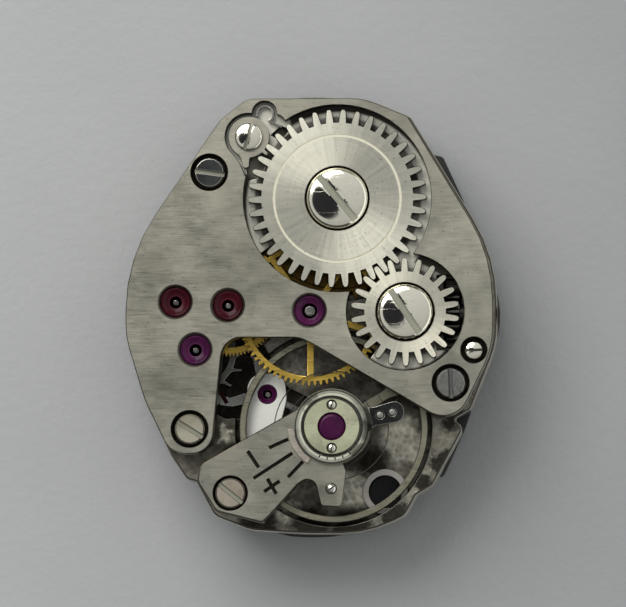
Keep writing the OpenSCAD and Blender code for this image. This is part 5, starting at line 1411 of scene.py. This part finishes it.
@dataclass
class Studio:
    """Floor, lamp, flag, world and camera."""

    target: Place = (0.129, 0.240, 4.3)
    frame_w: float = 21.785
    distance: float = 150.0
    tilt_x: float = 3.0
    tilt_y: float = 4.3
    sensor: float = 36.0
    clip_near: float = 0.005
    clip_far: float = 10.0
    floor_side: float = 0.6
    floor_gap: float = 2e-5
    floor_grey: Colour = (0.46295, 0.47, 0.47)
    tone_low: float = 0.6
    tone_high: float = 1.2
    slope_way: Place = (-0.97, 0.25, 0.0)
    slope_reach: float = 14.0
    slope_dark: float = 0.8
    slope_light: float = 1.12
    wash: float = 0.03
    paper_rough: float = 0.8
    paper_specular: float = 0.2
    paper_mm: float = 0.03
    flag_low: Place = (-85.0, -36.0, 158.0)
    flag_high: Place = (10.0, 56.0, 158.0)
    flag_tone: tuple[float, ...] = (0.02, 0.02, 0.025, 1.0)
    lamp_place: Place = (-0.13, 0.215, 0.25)
    lamp_side: float = 0.26
    lamp_watts: float = 0.84
    lamp_tint: Colour = (1.0, 0.99, 0.965)
    room: float = 0.36
    room_tone: tuple[float, ...] = (0.97, 0.99, 1.0, 1.0)
    room_way: Place = (-0.3, 0.9, 0.3)
    horizon: float = 0.20
    strip: float = 2.6

    def floor(self) -> None:
        """Lays a pale sheet of paper under the movement, with painted shade that makes it a little darker
        towards the lower right.
        """
        low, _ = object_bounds()
        Bench.clear()
        bpy.ops.mesh.primitive_grid_add(x_subdivisions=4, y_subdivisions=4, size=self.floor_side,
                                        location=(0, 0, low.z - self.floor_gap))
        paper = bpy.context.object
        paper.name = "floor"
        made = bpy.data.materials.new("paper")
        canvas = Canvas(made)
        # Painted shade: the paper darkens towards the lower right
        slope = canvas.along(canvas.spot, self.slope_way)
        clouds = canvas.noise(canvas.spot, scale=0.12, detail=3.0, rough=0.5)
        wash = canvas.span(clouds, low=0.3, high=0.7, to_low=-self.wash, to_high=self.wash)
        tone = canvas.plus(
            canvas.span(slope, -self.slope_reach, self.slope_reach, self.slope_dark, self.slope_light), wash)
        ends = [tuple(c * end for c in self.floor_grey) for end in (self.tone_low, self.tone_high)]
        canvas.paint(Base_Color=canvas.mix(canvas.span(tone, self.tone_low, self.tone_high), *ends),
                     Roughness=self.paper_rough, Specular_IOR_Level=self.paper_specular)
        canvas.bump(canvas.noise(canvas.spot, scale=2.5, detail=4.0, rough=0.6), self.paper_mm)
        paper.data.materials.append(made)
        paper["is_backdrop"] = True

    def lamp(self) -> None:
        """Adds a soft square lamp, which looks at the movement."""
        data = bpy.data.lights.new("key", "AREA")
        data.shape, data.size = "SQUARE", self.lamp_side
        data.energy, data.color = self.lamp_watts, self.lamp_tint
        lamp = bpy.data.objects.new("key", data)
        bpy.context.scene.collection.objects.link(lamp)
        lamp.location = self.lamp_place
        lamp.rotation_mode = "QUATERNION"
        lamp.rotation_quaternion = (-Vector(self.lamp_place)).to_track_quat("-Z", "Y")

    def flag(self) -> None:
        """Hangs a black flag over the movement, which only its polished metal sees."""
        low, high = Vector(self.flag_low) * MM, Vector(self.flag_high) * MM
        middle = (low + high) / 2
        Bench.clear()
        bpy.ops.mesh.primitive_grid_add(x_subdivisions=2, y_subdivisions=2, size=1.0, location=middle)
        bpy.ops.transform.resize(value=(high.x - low.x, high.y - low.y, 1.0), center_override=middle)
        flag = bpy.context.object
        flag.name = "black_flag"
        made = bpy.data.materials.new("black_cloth")
        made.use_nodes = True
        graph = Graph(made.node_tree)
        hem = graph.span(graph.length(graph.add("TexCoord").outputs["Object"]), low=0.5, high=0.40)
        cloth = graph.add("Emission", {"Color": self.flag_tone, "Strength": 1.0}).outputs[0]
        mixed = graph.add("MixShader", {0: hem, 1: graph.add("BsdfTransparent").outputs[0], 2: cloth})
        graph.add("OutputMaterial", {0: mixed.outputs[0]})
        flag.data.materials.append(made)
        flag.visible_camera = flag.visible_diffuse = flag.visible_shadow = flag.visible_transmission = False
        flag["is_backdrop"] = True

    def world(self) -> None:
        """Gives the room a bright ceiling, dark walls, and a low bright strip at its right."""
        world = bpy.data.worlds.new("room")
        bpy.context.scene.world = world
        world.use_nodes = True
        graph = Graph(world.node_tree)
        way = graph.add("TexCoord").outputs["Generated"]
        x, _, z = graph.add("SeparateXYZ", {0: way}).outputs
        side = graph.span(graph.along(way, self.room_way), low=-0.5, high=0.9, to_low=0.8, to_high=1.9)
        ceiling = graph.times(graph.span(z, low=0.3, high=0.7, to_low=self.horizon), side)
        strip = graph.times(graph.span(x, low=0.4, high=0.65), graph.span(z, low=0.6, high=0.4))
        strength = graph.times(graph.plus(ceiling, graph.times(strip, self.strip)), self.room)
        back = graph.add("Background", {"Color": self.room_tone, "Strength": strength})
        graph.add("OutputWorld", {0: back.outputs[0]})

    def camera(self) -> None:
        """Sets the camera over the movement, leaning a little to the right and to the front."""
        way = Vector((math.sin(math.radians(self.tilt_x)), -math.sin(math.radians(self.tilt_y)), 0))
        way.z = math.sqrt(1 - way.length_squared)
        data = bpy.data.cameras.new("camera")
        data.sensor_width = self.sensor
        data.lens = data.sensor_width * self.distance / self.frame_w
        data.clip_start, data.clip_end = self.clip_near, self.clip_far
        camera = bpy.data.objects.new("camera", data)
        bpy.context.scene.collection.objects.link(camera)
        up = (Vector((0, 1, 0)) - way * way.y).normalized()
        camera.matrix_world = Matrix.Translation((Vector(self.target) + way * self.distance) * MM) @ Matrix(
            (up.cross(way), up, way)).transposed().to_4x4()
        bpy.context.scene.camera = camera

    def build(self) -> None:
        """Builds the studio."""
        self.camera()
        self.floor()
        self.flag()
        self.world()
        self.lamp()
        bpy.context.scene.view_settings.view_transform = "Standard"


def main() -> None:
    """Builds every assembly in order."""
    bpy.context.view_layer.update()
    for assembly in (Plates(), Winding(), Train(), Escapement(), Stones(), Screws(), DialFace(), Studio()):
        assembly.build()
        log.info("built %s", type(assembly).__name__)


if __name__ == "__main__":
    main()
